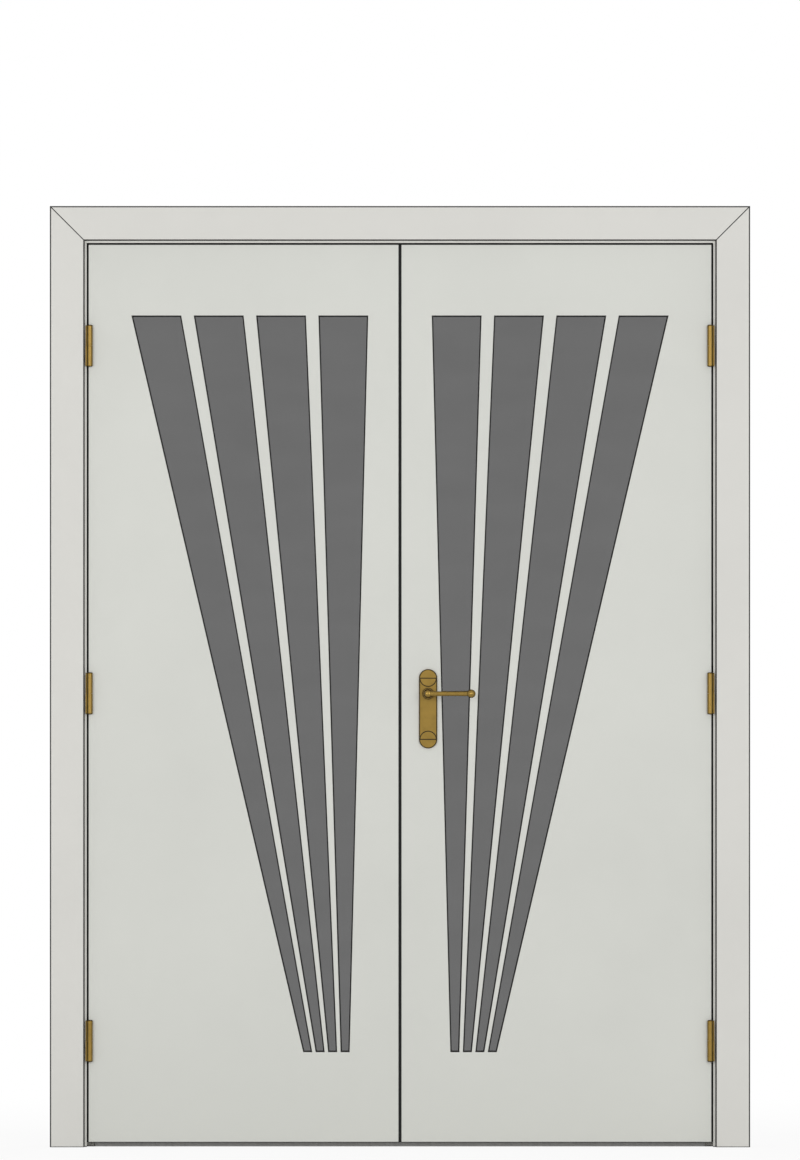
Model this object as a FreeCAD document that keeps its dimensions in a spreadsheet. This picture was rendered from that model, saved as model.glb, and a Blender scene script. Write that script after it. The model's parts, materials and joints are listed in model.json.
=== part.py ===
import FreeCAD, Part
import math
import os
import re
import Sketcher

# A pair of flush timber door leaves with tapered glazed slots, hung in a cased frame.
# X runs to the right seen from the swing side, Y runs away from that side and Z is up.
# The origin is on the floor, in the middle of the doorway and of the lining's depth.

DOC = FreeCAD.newDocument("swing_door_pair")
V = FreeCAD.Vector

# Driving sizes in millimetres
SIZES = {
    # Door leaves and the gaps around them
    "leaf_width": 686,
    "leaf_height": 1981,
    "leaf_thick": 44,
    "stile_width": 32,
    "hinge_gap": 3,
    "meeting_gap": 4,
    "head_gap": 3,
    "floor_gap": 10,
    # Frame
    "jamb_thick": 30,
    "lining_depth": 120,
    "housing_depth": 10,
    "stop_thick": 18,
    "stop_depth": 40,
    "stop_clear": 1,
    "stop_ease": 3,
    "casing_width": 75,
    "casing_thick": 18,
    "casing_reveal": 6,
    "casing_round": 4,
    "mitre_groove": 1.2,
    "mitre_depth": 1.5,
    "threshold_height": 15,
    "threshold_toe": 5,
    "threshold_flat": 14,
    "fixing_radius": 4,
    "fixing_end": 150,
    "fixing_inner": 600,
    # Glazed slots
    "lite_top_drop": 157,
    "lite_foot_rise": 199,
    "lite_top_margin": 68,
    "lite_hinge_margin": 95.5,
    "lite_foot_margin": 109,
    "lite_top_width": 110,
    "lite_foot_width": 20,
    "lite_foot_pitch": 27.5,
    "glass_thick": 8,
    "glass_bite": 6,
    "glass_clear": 0.5,
    "seal_thick": 2,
    "seal_width": 2,
    "seal_rise": 5,
    # Hinges
    "hinge_height": 90,
    "hinge_inset": 179,
    "barrel_radius": 6.75,
    "barrel_clear": 0.5,
    "plate_thick": 2.5,
    "plate_width": 30,
    "root_thick": 2.5,
    "knuckle_gap": 0.4,
    "pin_radius": 3.2,
    "pin_clear": 0.05,
    # Lever handle
    "handle_height": 1000,
    "backset": 60,
    "escutcheon_width": 40,
    "escutcheon_rise": 54,
    "escutcheon_drop": 121,
    "escutcheon_thick": 6,
    "escutcheon_ease": 1.5,
    "collar_radius": 13,
    "collar_height": 6,
    "neck_radius": 7.5,
    "neck_entry": 4,
    "neck_nose": 7,
    "lever_stand": 46,
    "lever_reach": 95,
    "lever_radius": 5.5,
    "knob_radius": 9.5,
    "spindle_side": 8,
    "spindle_reach": 32,
    "spindle_clear": 0.1,
    "spindle_hole": 11,
    # Mortice latch, set out from the spindle
    "case_wall": 1.5,
    "forend_lip": 0.5,
    "forend_height": 57,
    "forend_thick": 3,
    "bolt_thick": 12,
    "bolt_height": 18,
    "bolt_throw": 10,
    "bolt_body": 12,
    "bolt_tip": 3,
    "bolt_clear": 0.3,
    "tail_side": 4.4,
    "guide_thick": 2,
    "guide_room": 5,
    "strap_thick": 2,
    "strap_web": 1,
    "strap_clear": 0.5,
    "strap_tail": 2,
    "strap_room": 0.5,
    "riser_thick": 3,
    "riser_room": 3,
    "window_lead": 7.3,
    "window_shy": 0.1,
    "window_clear": 0.4,
    "hub_radius": 7,
    "hub_clear": 0.1,
    "arm_reach": 3.2,
    "arm_width": 3.4,
    "arm_thick": 2.4,
    "arm_room": 0.65,
    "arm_tilt": 20,
    "spring_clear": 0.4,
    "spring_wire": 0.9,
    "strike_thick": 2.5,
    "strike_room": 2,
    # Edge bolts of the inactive leaf
    "shoot_drop": 250,
    "shoot_face_height": 200,
    "shoot_face_width": 20,
    "shoot_face_thick": 2.5,
    "shoot_case_height": 150,
    "shoot_case_width": 16,
    "shoot_case_depth": 22,
    "shoot_inset": 13,
    "shoot_side": 10,
    "shoot_clear": 0.15,
    "shoot_throw": 15,
    "shoot_shy": 1,
    "thumb_height": 18,
    "thumb_width": 7,
    "thumb_clear": 0.5,
    "keep_length": 60,
    "keep_width": 25,
    "keep_thick": 2.5,
    "keep_clear": 1,
    "keep_room": 4,
}
LITES = 4
KNUCKLES = 2
# Sides of the regular outline, about the knob's circle, that it is turned to
KNOB_SIDES = 8

SHEET = DOC.addObject("Spreadsheet::Sheet", "Sizes")
for row, (alias, size) in enumerate(SIZES.items(), 1):
    SHEET.set("A%d" % row, alias)
    SHEET.set("B%d" % row, str(size))
    SHEET.setAlias("B%d" % row, alias)
DOC.recompute()

# How far a cutting tool runs past the face that it opens
OVERCUT = "1"

# Places that several sub-parts share, as expressions of the sheet
HALF_OPENING = "(leaf_width + hinge_gap + meeting_gap / 2)"
FRONT = "(-lining_depth / 2)"
LEAF_BACK = "(leaf_thick - lining_depth / 2)"
LEAF_MID = "(leaf_thick / 2 - lining_depth / 2)"
LEAF_FOOT = "floor_gap"
LEAF_TOP = "(floor_gap + leaf_height)"
LEAF_CENTRE = "(floor_gap + leaf_height / 2)"
HEAD = "(floor_gap + leaf_height + head_gap)"
HINGE_EDGE = "(-leaf_width - meeting_gap / 2)"
MEETING_EDGE = "(-meeting_gap / 2)"
PANEL = "((leaf_thick - glass_thick - 2 * seal_thick) / 2)"
LITE_SPREAD = "(leaf_width - lite_hinge_margin - lite_top_width - lite_top_margin)"
LITE_PITCH = "(%s / %d)" % (LITE_SPREAD, LITES - 1)

PIECES = []


def words(text):
    """The expression with each size's name pointing into the sheet."""
    return re.sub(r"[a-z][a-z_]*", lambda found: "Sizes." + found.group(0), text)


def number(text):
    return float(SHEET.evalExpression(words(text)))


def bind(thing, prop, text):
    thing.setExpression(prop, words(text))


def place(thing, point, rotation=None):
    """Put an object's origin at a point of three expressions."""
    if rotation:
        thing.Placement = FreeCAD.Placement(V(), rotation)
    for axis, text in zip("xyz", point):
        bind(thing, "Placement.Base." + axis, text)


def piece(thing):
    """Count an object as a finished sub-part, written under its own label."""
    PIECES.append(thing)
    return thing


def box(name, low, high):
    """A block between two corners."""
    block = DOC.addObject("Part::Box", name)
    for prop, near, far in zip(("Length", "Width", "Height"), low, high):
        bind(block, prop, "%s - (%s)" % (far, near))
    place(block, low)
    return block


DIRECTIONS = {
    "X": FreeCAD.Rotation(V(0, 0, 1), V(1, 0, 0)),
    "Y": FreeCAD.Rotation(V(0, 0, 1), V(0, 1, 0)),
    "Z": FreeCAD.Rotation(),
}


def rod(name, start, direction, length, radius):
    """A cylinder that grows from its start along one axis."""
    cylinder = DOC.addObject("Part::Cylinder", name)
    bind(cylinder, "Radius", radius)
    bind(cylinder, "Height", length)
    place(cylinder, start, DIRECTIONS[direction])
    return cylinder


def sketch(body, plane, loops):
    """Closed outlines on one of the body's planes, each corner tied to the sheet."""
    drawing = body.newObject("Sketcher::SketchObject", body.Name + "_outline")
    support = [datum for datum in body.Origin.OriginFeatures if datum.Role == plane]
    drawing.AttachmentSupport = [(support[0], "")]
    drawing.MapMode = "FlatFace"
    for loop in loops:
        first = drawing.GeometryCount
        corners = [V(number(across), number(up), 0) for across, up in loop]
        for begin, end in zip(corners, corners[1:] + corners[:1]):
            drawing.addGeometry(Part.LineSegment(begin, end), False)
        for index, (across, up) in enumerate(loop):
            line = first + index
            following = first + (index + 1) % len(loop)
            drawing.addConstraint(Sketcher.Constraint("Coincident", line, 2, following, 1))
            for kind, text in (("DistanceX", across), ("DistanceY", up)):
                rule = Sketcher.Constraint(kind, -1, 1, line, 1, number(text))
                bind(drawing, "Constraints[%d]" % drawing.addConstraint(rule), text)
    return drawing


def prism(name, plane, loops, start, depth):
    """A padded outline: on XZ it runs back along Y, on XY up Z and on YZ along X."""
    body = DOC.addObject("PartDesign::Body", name)
    pad = body.newObject("PartDesign::Pad", name + "_pad")
    pad.Profile = sketch(body, plane + "_Plane", loops)
    bind(pad, "Length", depth)
    base = {
        "XY": ("0", "0", start),
        "XZ": ("0", "%s + (%s)" % (start, depth), "0"),
        "YZ": (start, "0", "0"),
    }
    place(body, base[plane])
    return body


def round_edges(body, radius, chosen):
    """Round the edges of a body's last feature that the test picks out."""
    DOC.recompute()
    edges = body.Tip.Shape.Edges
    names = ["Edge%d" % count for count, edge in enumerate(edges, 1) if chosen(edge)]
    fillet = body.newObject("PartDesign::Fillet", body.Name + "_round")
    fillet.Base = (body.getObject(body.Name + "_pad"), names)
    bind(fillet, "Radius", radius)


def fused(name, parts):
    union = DOC.addObject("Part::MultiFuse", name)
    union.Shapes = parts
    return union


def cut(name, base, tools):
    """A solid less one or more tools."""
    rest = DOC.addObject("Part::Cut", name)
    rest.Base = base
    rest.Tool = tools[0] if len(tools) == 1 else fused(name + "_tools", tools)
    return rest


def group(name, parts):
    """Like solids that make one sub-part."""
    together = DOC.addObject("Part::Compound", name)
    together.Links = parts
    return together


def mirrored(name, source, normal=V(1, 0, 0), point=("0", "0", "0")):
    copy = DOC.addObject("Part::Mirroring", name)
    copy.Source = source
    copy.Normal = normal
    for axis, text in zip("xyz", point):
        bind(copy, "Base." + axis, text)
    return copy


def through_leaf(name, source):
    """A copy on the leaf's other face."""
    return mirrored(name, source, V(0, 1, 0), ("0", LEAF_MID, "0"))


def top_to_bottom(name, source):
    """A copy at the leaf's other end."""
    return mirrored(name, source, V(0, 0, 1), ("0", "0", LEAF_CENTRE))


HINGE_HEIGHTS = {
    "top": "(%s - hinge_inset - hinge_height / 2)" % LEAF_TOP,
    "middle": LEAF_CENTRE,
    "bottom": "(%s + hinge_inset + hinge_height / 2)" % LEAF_FOOT,
}


# Frame

def hinge_recess(name, edge_x, depth_x, height):
    """The pocket for a hinge plate in an upright face, open to the front."""
    low = (edge_x, "%s - %s" % (FRONT, OVERCUT), "%s - hinge_height / 2" % height)
    high = (depth_x, "%s + plate_width" % FRONT, "%s + hinge_height / 2" % height)
    return box(name, low, high)


def make_jambs():
    outer = "(-%s - jamb_thick)" % HALF_OPENING
    inner = "(-%s)" % HALF_OPENING
    top = "%s + housing_depth" % HEAD
    blank = box("jamb_blank", (outer, FRONT, "0"), (inner, "lining_depth / 2", top))
    tools = []
    for spot, height in HINGE_HEIGHTS.items():
        back = "%s - plate_thick" % inner
        face = "%s + %s" % (inner, OVERCUT)
        tools.append(hinge_recess("jamb_recess_" + spot, back, face, height))
    heights = ("fixing_end", "fixing_inner", "%s - fixing_inner" % HEAD, "%s - fixing_end" % HEAD)
    for count, height in enumerate(heights):
        start = ("%s - %s" % (outer, OVERCUT), LEAF_MID, height)
        length = "jamb_thick + 2 * %s" % OVERCUT
        tools.append(rod("jamb_fixing_%d" % count, start, "X", length, "fixing_radius"))
    left = piece(cut("jamb_left", blank, tools))
    piece(mirrored("jamb_right", left))


SHOOT_X = "(%s - shoot_inset)" % MEETING_EDGE


def shoot_bar(name, low, high, clear):
    """The top edge bolt's square section between two heights, grown by a clearance all round."""
    side = "(shoot_side / 2 + (%s))" % clear
    near = ("%s - %s" % (SHOOT_X, side), "%s - %s" % (LEAF_MID, side), low)
    return box(name, near, ("%s + %s" % (SHOOT_X, side), "%s + %s" % (LEAF_MID, side), high))


def keep_plate(name):
    low = (
        "%s - keep_length / 2" % SHOOT_X,
        "%s - keep_width / 2" % LEAF_MID,
        HEAD,
    )
    high = (
        "%s + keep_length / 2" % SHOOT_X,
        "%s + keep_width / 2" % LEAF_MID,
        "%s + keep_thick" % HEAD,
    )
    return box(name, low, high)


def make_head():
    outer = "(%s + jamb_thick)" % HALF_OPENING
    low = ("-" + outer, FRONT, HEAD)
    blank = box("head_blank", low, (outer, "lining_depth / 2", "%s + jamb_thick" % HEAD))
    housing = box(
        "head_housing",
        ("-%s - %s" % (outer, OVERCUT), "%s - %s" % (FRONT, OVERCUT), "%s - %s" % (HEAD, OVERCUT)),
        ("-" + HALF_OPENING, "lining_depth / 2 + %s" % OVERCUT, "%s + housing_depth" % HEAD),
    )
    socket_top = "%s + shoot_throw + keep_room" % HEAD
    socket = shoot_bar("head_socket", HEAD, socket_top, "keep_clear")
    tools = [housing, mirrored("head_housing_right", housing), keep_plate("head_recess"), socket]
    piece(cut("jamb_head", blank, tools))
    mouth = shoot_bar("keep_mouth", "%s - %s" % (HEAD, OVERCUT), socket_top, "keep_clear")
    piece(cut("head_keep", keep_plate("keep_blank"), [mouth]))


STOP_FRONT = "(%s + stop_clear)" % LEAF_BACK
STOP_BACK = "(%s + stop_clear + stop_depth)" % LEAF_BACK


def make_stops():
    """Rebate stops planted behind the leaves, with their two open corners eased."""
    root = "(-%s)" % HALF_OPENING
    crest = "(%s + stop_thick)" % root
    upright = [
        (root, STOP_FRONT),
        ("%s - stop_ease" % crest, STOP_FRONT),
        (crest, "%s + stop_ease" % STOP_FRONT),
        (crest, "%s - stop_ease" % STOP_BACK),
        ("%s - stop_ease" % crest, STOP_BACK),
        (root, STOP_BACK),
    ]
    left = piece(prism("stop_left", "XY", [upright], "0", "%s - stop_thick" % HEAD))
    piece(mirrored("stop_right", left))
    crest = "(%s - stop_thick)" % HEAD
    level = [
        (STOP_FRONT, HEAD),
        (STOP_FRONT, "%s + stop_ease" % crest),
        ("%s + stop_ease" % STOP_FRONT, crest),
        ("%s - stop_ease" % STOP_BACK, crest),
        (STOP_BACK, "%s + stop_ease" % crest),
        (STOP_BACK, HEAD),
    ]
    piece(prism("stop_head", "YZ", [level], "-" + HALF_OPENING, "2 * " + HALF_OPENING))


def make_threshold():
    """A low ramped bar on the floor between the stops."""
    section = [
        (STOP_FRONT, "0"),
        (STOP_BACK, "0"),
        (STOP_BACK, "threshold_toe"),
        ("%s + threshold_flat" % STOP_FRONT, "threshold_height"),
        (STOP_FRONT, "threshold_height"),
    ]
    half = "(%s - stop_thick)" % HALF_OPENING
    piece(prism("threshold", "YZ", [section], "-" + half, "2 * " + half))


CASING_IN = "(%s + casing_reveal)" % HALF_OPENING
CASING_OUT = "(%s + casing_width)" % CASING_IN
CASING_LOW = "(%s + casing_reveal)" % HEAD
CASING_TOP = "(%s + casing_width)" % CASING_LOW
CASING_FACE = "(%s - casing_thick)" % FRONT


def make_casings():
    """Square casings with rounded front edges, mitred at the top corners."""
    face = number(CASING_FACE)

    def on_face(edge):
        long_edge = edge.Length > number("2 * casing_width")
        return long_edge and all(abs(end.Point.y - face) < number("casing_round") / 2
                                 for end in edge.Vertexes)

    upright = [
        ("-" + CASING_OUT, CASING_FACE),
        ("-" + CASING_IN, CASING_FACE),
        ("-" + CASING_IN, FRONT),
        ("-" + CASING_OUT, FRONT),
    ]
    leg = prism("casing_leg", "XY", [upright], "0", CASING_TOP)
    round_edges(leg, "casing_round", on_face)
    level = [
        (CASING_FACE, CASING_LOW),
        (FRONT, CASING_LOW),
        (FRONT, CASING_TOP),
        (CASING_FACE, CASING_TOP),
    ]
    rail = prism("casing_rail", "YZ", [level], "-" + CASING_OUT, "2 * " + CASING_OUT)
    round_edges(rail, "casing_round", on_face)

    past = "(2 * casing_thick)"
    high_corner = ("-%s - %s" % (CASING_OUT, past), "%s + %s" % (CASING_TOP, past))
    low_corner = ("-%s + %s" % (CASING_IN, past), "%s - %s" % (CASING_LOW, past))
    above = [high_corner, low_corner, (low_corner[0], high_corner[1])]
    below = [high_corner, low_corner, (high_corner[0], low_corner[1])]
    start = "%s - %s" % (CASING_FACE, OVERCUT)
    depth = "casing_thick + 2 * %s" % OVERCUT
    over = prism("mitre_above", "XZ", [above], start, depth)
    under = prism("mitre_below", "XZ", [below], start, depth)
    line = [
        ("%s - mitre_groove" % high_corner[0], high_corner[1]),
        ("%s + mitre_groove" % high_corner[0], high_corner[1]),
        ("%s + mitre_groove" % low_corner[0], low_corner[1]),
        ("%s - mitre_groove" % low_corner[0], low_corner[1]),
    ]
    groove = prism("mitre_line", "XZ", [line], start, "mitre_depth + %s" % OVERCUT)

    left = cut("casing_front_left", leg, [over, groove])
    ends = [under, groove]
    ends += [mirrored("mitre_below_right", under), mirrored("mitre_line_right", groove)]
    head = cut("casing_front_head", rail, ends)
    right = mirrored("casing_front_right", left)
    for front in (left, right, head):
        piece(front)
        piece(mirrored(front.Name.replace("front", "rear"), front, V(0, 1, 0)))


# Hinges

AXIS_X = "(barrel_radius - %s)" % HALF_OPENING
AXIS_Y = "(%s - barrel_radius - barrel_clear)" % FRONT
KNUCKLE = "((hinge_height - %d * knuckle_gap) / %d)" % (KNUCKLES - 1, KNUCKLES)


def hinge_plate(name, near_x, root_x, height, turns):
    """A flat plate with the knuckles of its side rolled up in front of it."""
    foot = "(%s - hinge_height / 2)" % height
    crown = "(%s + hinge_height / 2)" % height
    far_x = "%s + plate_thick" % near_x
    parts = [box(name + "_flat", (near_x, FRONT, foot), (far_x, "%s + plate_width" % FRONT, crown))]
    for turn in turns:
        low = "(%s + %d * (%s + knuckle_gap))" % (foot, turn, KNUCKLE)
        high = "%s + %s" % (low, KNUCKLE)
        label = "%s_%d" % (name, turn)
        parts.append(rod(label + "_roll", (AXIS_X, AXIS_Y, low), "Z", KNUCKLE, "barrel_radius"))
        parts.append(box(label + "_root", (near_x, AXIS_Y, low), (root_x, FRONT, high)))
    return parts


def make_hinges():
    """Lift-off butts: the pin stands in the jamb plate's knuckle and the leaf's drops over it."""
    for spot, height in HINGE_HEIGHTS.items():
        foot = "(%s - hinge_height / 2)" % height
        name = "hinge_jamb_plate_left_" + spot
        jamb_side = "(-%s - plate_thick)" % HALF_OPENING
        root = "(-%s + root_thick)" % HALF_OPENING
        parts = hinge_plate(name, jamb_side, root, height, range(0, KNUCKLES, 2))
        parts.append(rod(name + "_pin", (AXIS_X, AXIS_Y, foot), "Z", "hinge_height", "pin_radius"))
        fixed = piece(fused(name, parts))
        piece(mirrored("hinge_jamb_plate_right_" + spot, fixed))

        name = "hinge_leaf_plate_left_" + spot
        root = "%s + plate_thick" % HINGE_EDGE
        blank = hinge_plate(name, HINGE_EDGE, root, height, range(1, KNUCKLES, 2))
        bore = rod(
            name + "_bore", (AXIS_X, AXIS_Y, foot), "Z", "hinge_height", "pin_radius + pin_clear"
        )
        swinging = piece(cut(name, fused(name + "_blank", blank), [bore]))
        piece(mirrored("hinge_leaf_plate_right_" + spot, swinging))


# Leaves, drawn for the left side and mirrored for the right

LITE_TOP = "(%s - lite_top_drop)" % LEAF_TOP
LITE_FOOT = "(%s + lite_foot_rise)" % LEAF_FOOT
LITE_HEIGHT = "(%s - %s)" % (LITE_TOP, LITE_FOOT)
CORE_LEFT = "(%s + stile_width)" % HINGE_EDGE
CORE_RIGHT = "(%s - stile_width)" % MEETING_EDGE
CORE_FRONT = "(%s + %s)" % (FRONT, PANEL)


def slanted(first, last, grow):
    """A tapered slot's outline from lite first to lite last, moved out by grow on each side."""
    top_right = "(%s - lite_top_margin - %d * %s)" % (MEETING_EDGE, first, LITE_PITCH)
    foot_right = "(%s - lite_foot_margin - %d * lite_foot_pitch)" % (MEETING_EDGE, first)
    top_left = "(%s - lite_top_margin - lite_top_width - %d * %s)" % (MEETING_EDGE, last, LITE_PITCH)
    foot_left = "(%s - lite_foot_margin - lite_foot_width - %d * lite_foot_pitch)" % (MEETING_EDGE, last)
    run_left = "((%s - %s) / %s)" % (foot_left, top_left, LITE_HEIGHT)
    run_right = "((%s - %s) / %s)" % (foot_right, top_right, LITE_HEIGHT)
    top = "%s + (%s)" % (LITE_TOP, grow)
    foot = "%s - (%s)" % (LITE_FOOT, grow)
    return [
        ("%s - (%s) * (1 + %s)" % (top_left, grow, run_left), top),
        ("%s + (%s) * (1 - %s)" % (top_right, grow, run_right), top),
        ("%s + (%s) * (1 + %s)" % (foot_right, grow, run_right), foot),
        ("%s - (%s) * (1 - %s)" % (foot_left, grow, run_left), foot),
    ]


def lites(grow):
    return [slanted(count, count, grow) for count in range(LITES)]


def upright_board():
    return [
        (CORE_LEFT, LEAF_FOOT),
        (CORE_RIGHT, LEAF_FOOT),
        (CORE_RIGHT, LEAF_TOP),
        (CORE_LEFT, LEAF_TOP),
    ]


def hinge_stile():
    low = (HINGE_EDGE, FRONT, LEAF_FOOT)
    blank = box("hinge_stile_blank", low, (CORE_LEFT, LEAF_BACK, LEAF_TOP))
    tools = []
    for spot, height in HINGE_HEIGHTS.items():
        out = "%s - %s" % (HINGE_EDGE, OVERCUT)
        seat = "%s + plate_thick" % HINGE_EDGE
        tools.append(hinge_recess("stile_recess_" + spot, out, seat, height))
    return cut("hinge_stile_left", blank, tools)


def meeting_stile():
    low = (CORE_RIGHT, FRONT, LEAF_FOOT)
    return box("meeting_stile_blank", low, (MEETING_EDGE, LEAF_BACK, LEAF_TOP))


def glazing_seal():
    """A moulded sheet on each side of the glass, with a lip that lines every slot."""
    edge = slanted(0, LITES - 1, "glass_bite + glass_clear")
    sheet = prism("seal_sheet", "XZ", [edge] + lites("-seal_width"), CORE_FRONT, "seal_thick")
    rims = lites("0") + lites("-seal_width")
    lips = prism("seal_lips", "XZ", rims, "%s - seal_rise" % CORE_FRONT, "seal_rise")
    front = fused("seal_front", [sheet, lips])
    return group("glazing_seal_left", [front, through_leaf("seal_rear", front)])


def make_leaf_blanks():
    """The left leaf's timber and glass, before any lock or bolt is let in."""
    front = prism("panel_front_left", "XZ", [upright_board()] + lites("0"), FRONT, PANEL)
    opening = slanted(0, LITES - 1, "glass_bite + glass_clear")
    core_depth = "(leaf_thick - 2 * %s)" % PANEL
    pane = slanted(0, LITES - 1, "glass_bite")
    return {
        "hinge_stile": hinge_stile(),
        "meeting_stile": meeting_stile(),
        "panel_front": front,
        "panel_rear": through_leaf("panel_rear_left", front),
        "core": prism("core_left", "XZ", [upright_board(), opening], CORE_FRONT, core_depth),
        "glass": prism("glass_left", "XZ", [pane], "%s + seal_thick" % CORE_FRONT, "glass_thick"),
        "glazing_seal": glazing_seal(),
    }


HANDLE = "handle_height"
LATCH_EDGE = "(meeting_gap / 2)"
SPINDLE_X = "(%s + backset)" % LATCH_EDGE
# Depths from the active leaf's edge, and the case's outer side and inner half side
ARM_LENGTH = "(hub_radius + arm_reach)"
STRAP_START = "(backset - hub_radius - riser_room - bolt_throw - riser_thick)"
STRAP_END = "(backset + strap_tail)"
GUIDE_END = "(%s - guide_room)" % STRAP_START
GUIDE_START = "(%s - guide_thick)" % GUIDE_END
CASE_END = "(%s + bolt_throw + strap_room + case_wall)" % STRAP_END
CASE_HALF = "((%s ^ 2 + (arm_width / 2) ^ 2) ^ 0.5 + arm_room)" % ARM_LENGTH
CASE_SIDE = "(2 * %s + 2 * case_wall)" % CASE_HALF
FOREND_WIDTH = "(%s + 2 * forend_lip)" % CASE_SIDE


def edge_box(name, edge, sign, depth, width, low, high):
    """A block let into a meeting edge, centred on the leaf's thickness."""
    inside = "%s %s (%s)" % (edge, sign, depth)
    outside = "%s %s %s" % (edge, "-" if sign == "+" else "+", OVERCUT)
    ends = (outside, inside) if sign == "+" else (inside, outside)
    near = "%s - (%s) / 2" % (LEAF_MID, width)
    far = "%s + (%s) / 2" % (LEAF_MID, width)
    return box(name, (ends[0], near, low), (ends[1], far, high))


def plate_ends(height):
    return "%s - (%s) / 2" % (HANDLE, height), "%s + (%s) / 2" % (HANDLE, height)


def make_left_leaf(blanks):
    """The inactive leaf: its meeting stile takes the strike and two edge bolts."""
    strike_low, strike_high = plate_ends("forend_height")
    pocket_low, pocket_high = plate_ends("bolt_height + 2 * strike_room")
    pocket_width = "bolt_thick + 2 * strike_room"
    seat = ("strike_thick", FOREND_WIDTH, strike_low, strike_high)
    pocket = ("bolt_throw + strike_room", pocket_width, pocket_low, pocket_high)
    tools = [
        edge_box("strike_seat", MEETING_EDGE, "-", *seat),
        edge_box("strike_pocket", MEETING_EDGE, "-", *pocket),
    ]
    tools += shoot_cutters()
    stile = cut("meeting_stile_left", blanks["meeting_stile"], tools)
    for name in ("hinge_stile", "panel_front", "panel_rear", "core", "glass", "glazing_seal"):
        piece(blanks[name])
    piece(stile)

    near = "%s - %s / 2" % (LEAF_MID, FOREND_WIDTH)
    far = "%s + %s / 2" % (LEAF_MID, FOREND_WIDTH)
    low = ("%s - strike_thick" % MEETING_EDGE, near, strike_low)
    plate = box("strike_blank", low, (MEETING_EDGE, far, strike_high))
    mouth = edge_box("strike_mouth", MEETING_EDGE, "-", *pocket)
    piece(cut("strike_plate", plate, [mouth]))


def make_right_leaf(blanks):
    """The active leaf: the latch is let into its edge and the spindle passes through it."""
    forend_low, forend_high = plate_ends("forend_height")
    forend = ("forend_thick", FOREND_WIDTH, forend_low, forend_high)
    seat = edge_box("forend_seat", LATCH_EDGE, "+", *forend)
    case = edge_box("case_pocket", LATCH_EDGE, "+", CASE_END, CASE_SIDE, *plate_ends(CASE_SIDE))
    face = "%s - %s" % (FRONT, OVERCUT)
    depth = "leaf_thick + 2 * %s" % OVERCUT
    hole = rod("spindle_hole_right", (SPINDLE_X, face, HANDLE), "Y", depth, "spindle_hole")
    for name, blank in blanks.items():
        if name == "meeting_stile":
            turned = mirrored("meeting_stile_turned", blank)
            piece(cut("meeting_stile_right", turned, [case, seat]))
        elif name in ("panel_front", "panel_rear", "core"):
            turned = mirrored(name + "_turned", blank)
            piece(cut(name + "_right", turned, [case, hole]))
        else:
            piece(mirrored(name + "_right", blank))


# Mortice latch of the active leaf

def from_edge(depth):
    return "(%s + %s)" % (LATCH_EDGE, depth)


def edge_bar(name, start, end, half):
    """A square bar in line with the latch, between two depths from the leaf's edge."""
    low = (from_edge(start), "%s - %s" % (LEAF_MID, half), "%s - %s" % (HANDLE, half))
    high = (from_edge(end), "%s + %s" % (LEAF_MID, half), "%s + %s" % (HANDLE, half))
    return box(name, low, high)


def case_room(name, start, end):
    """A hollow inside the case's walls, between two depths from the leaf's edge."""
    return edge_bar(name, start, end, CASE_HALF)


def make_latch_case():
    """A sheet case behind a forend, with an inner guide for the bolt's tail."""
    low, high = plate_ends("forend_height")
    near = "%s - %s / 2" % (LEAF_MID, FOREND_WIDTH)
    far = "%s + %s / 2" % (LEAF_MID, FOREND_WIDTH)
    forend = box("forend", (LATCH_EDGE, near, low), (from_edge("forend_thick"), far, high))
    shell = edge_bar("case_shell", "0", CASE_END, "(%s / 2)" % CASE_SIDE)
    spring_room = case_room("case_spring_room", "forend_thick", GUIDE_START)
    cam_room = case_room("case_cam_room", GUIDE_END, "%s - case_wall" % CASE_END)
    guide_hole = edge_bar("case_guide_hole", "forend_thick", STRAP_START, "(tail_side / 2 + bolt_clear)")
    low, high = plate_ends("bolt_height + 2 * bolt_clear")
    width = "bolt_thick + 2 * bolt_clear"
    mouth = edge_box("case_mouth", LATCH_EDGE, "+", "forend_thick + %s" % OVERCUT, width, low, high)
    start = (SPINDLE_X, "%s - %s" % (LEAF_MID, CASE_SIDE), HANDLE)
    journal = rod("case_journal", start, "Y", "2 * " + CASE_SIDE, "hub_radius + hub_clear")
    tools = [spring_room, cam_room, guide_hole, mouth, journal]
    piece(cut("latch_case", fused("case_blank", [forend, shell]), tools))


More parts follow.
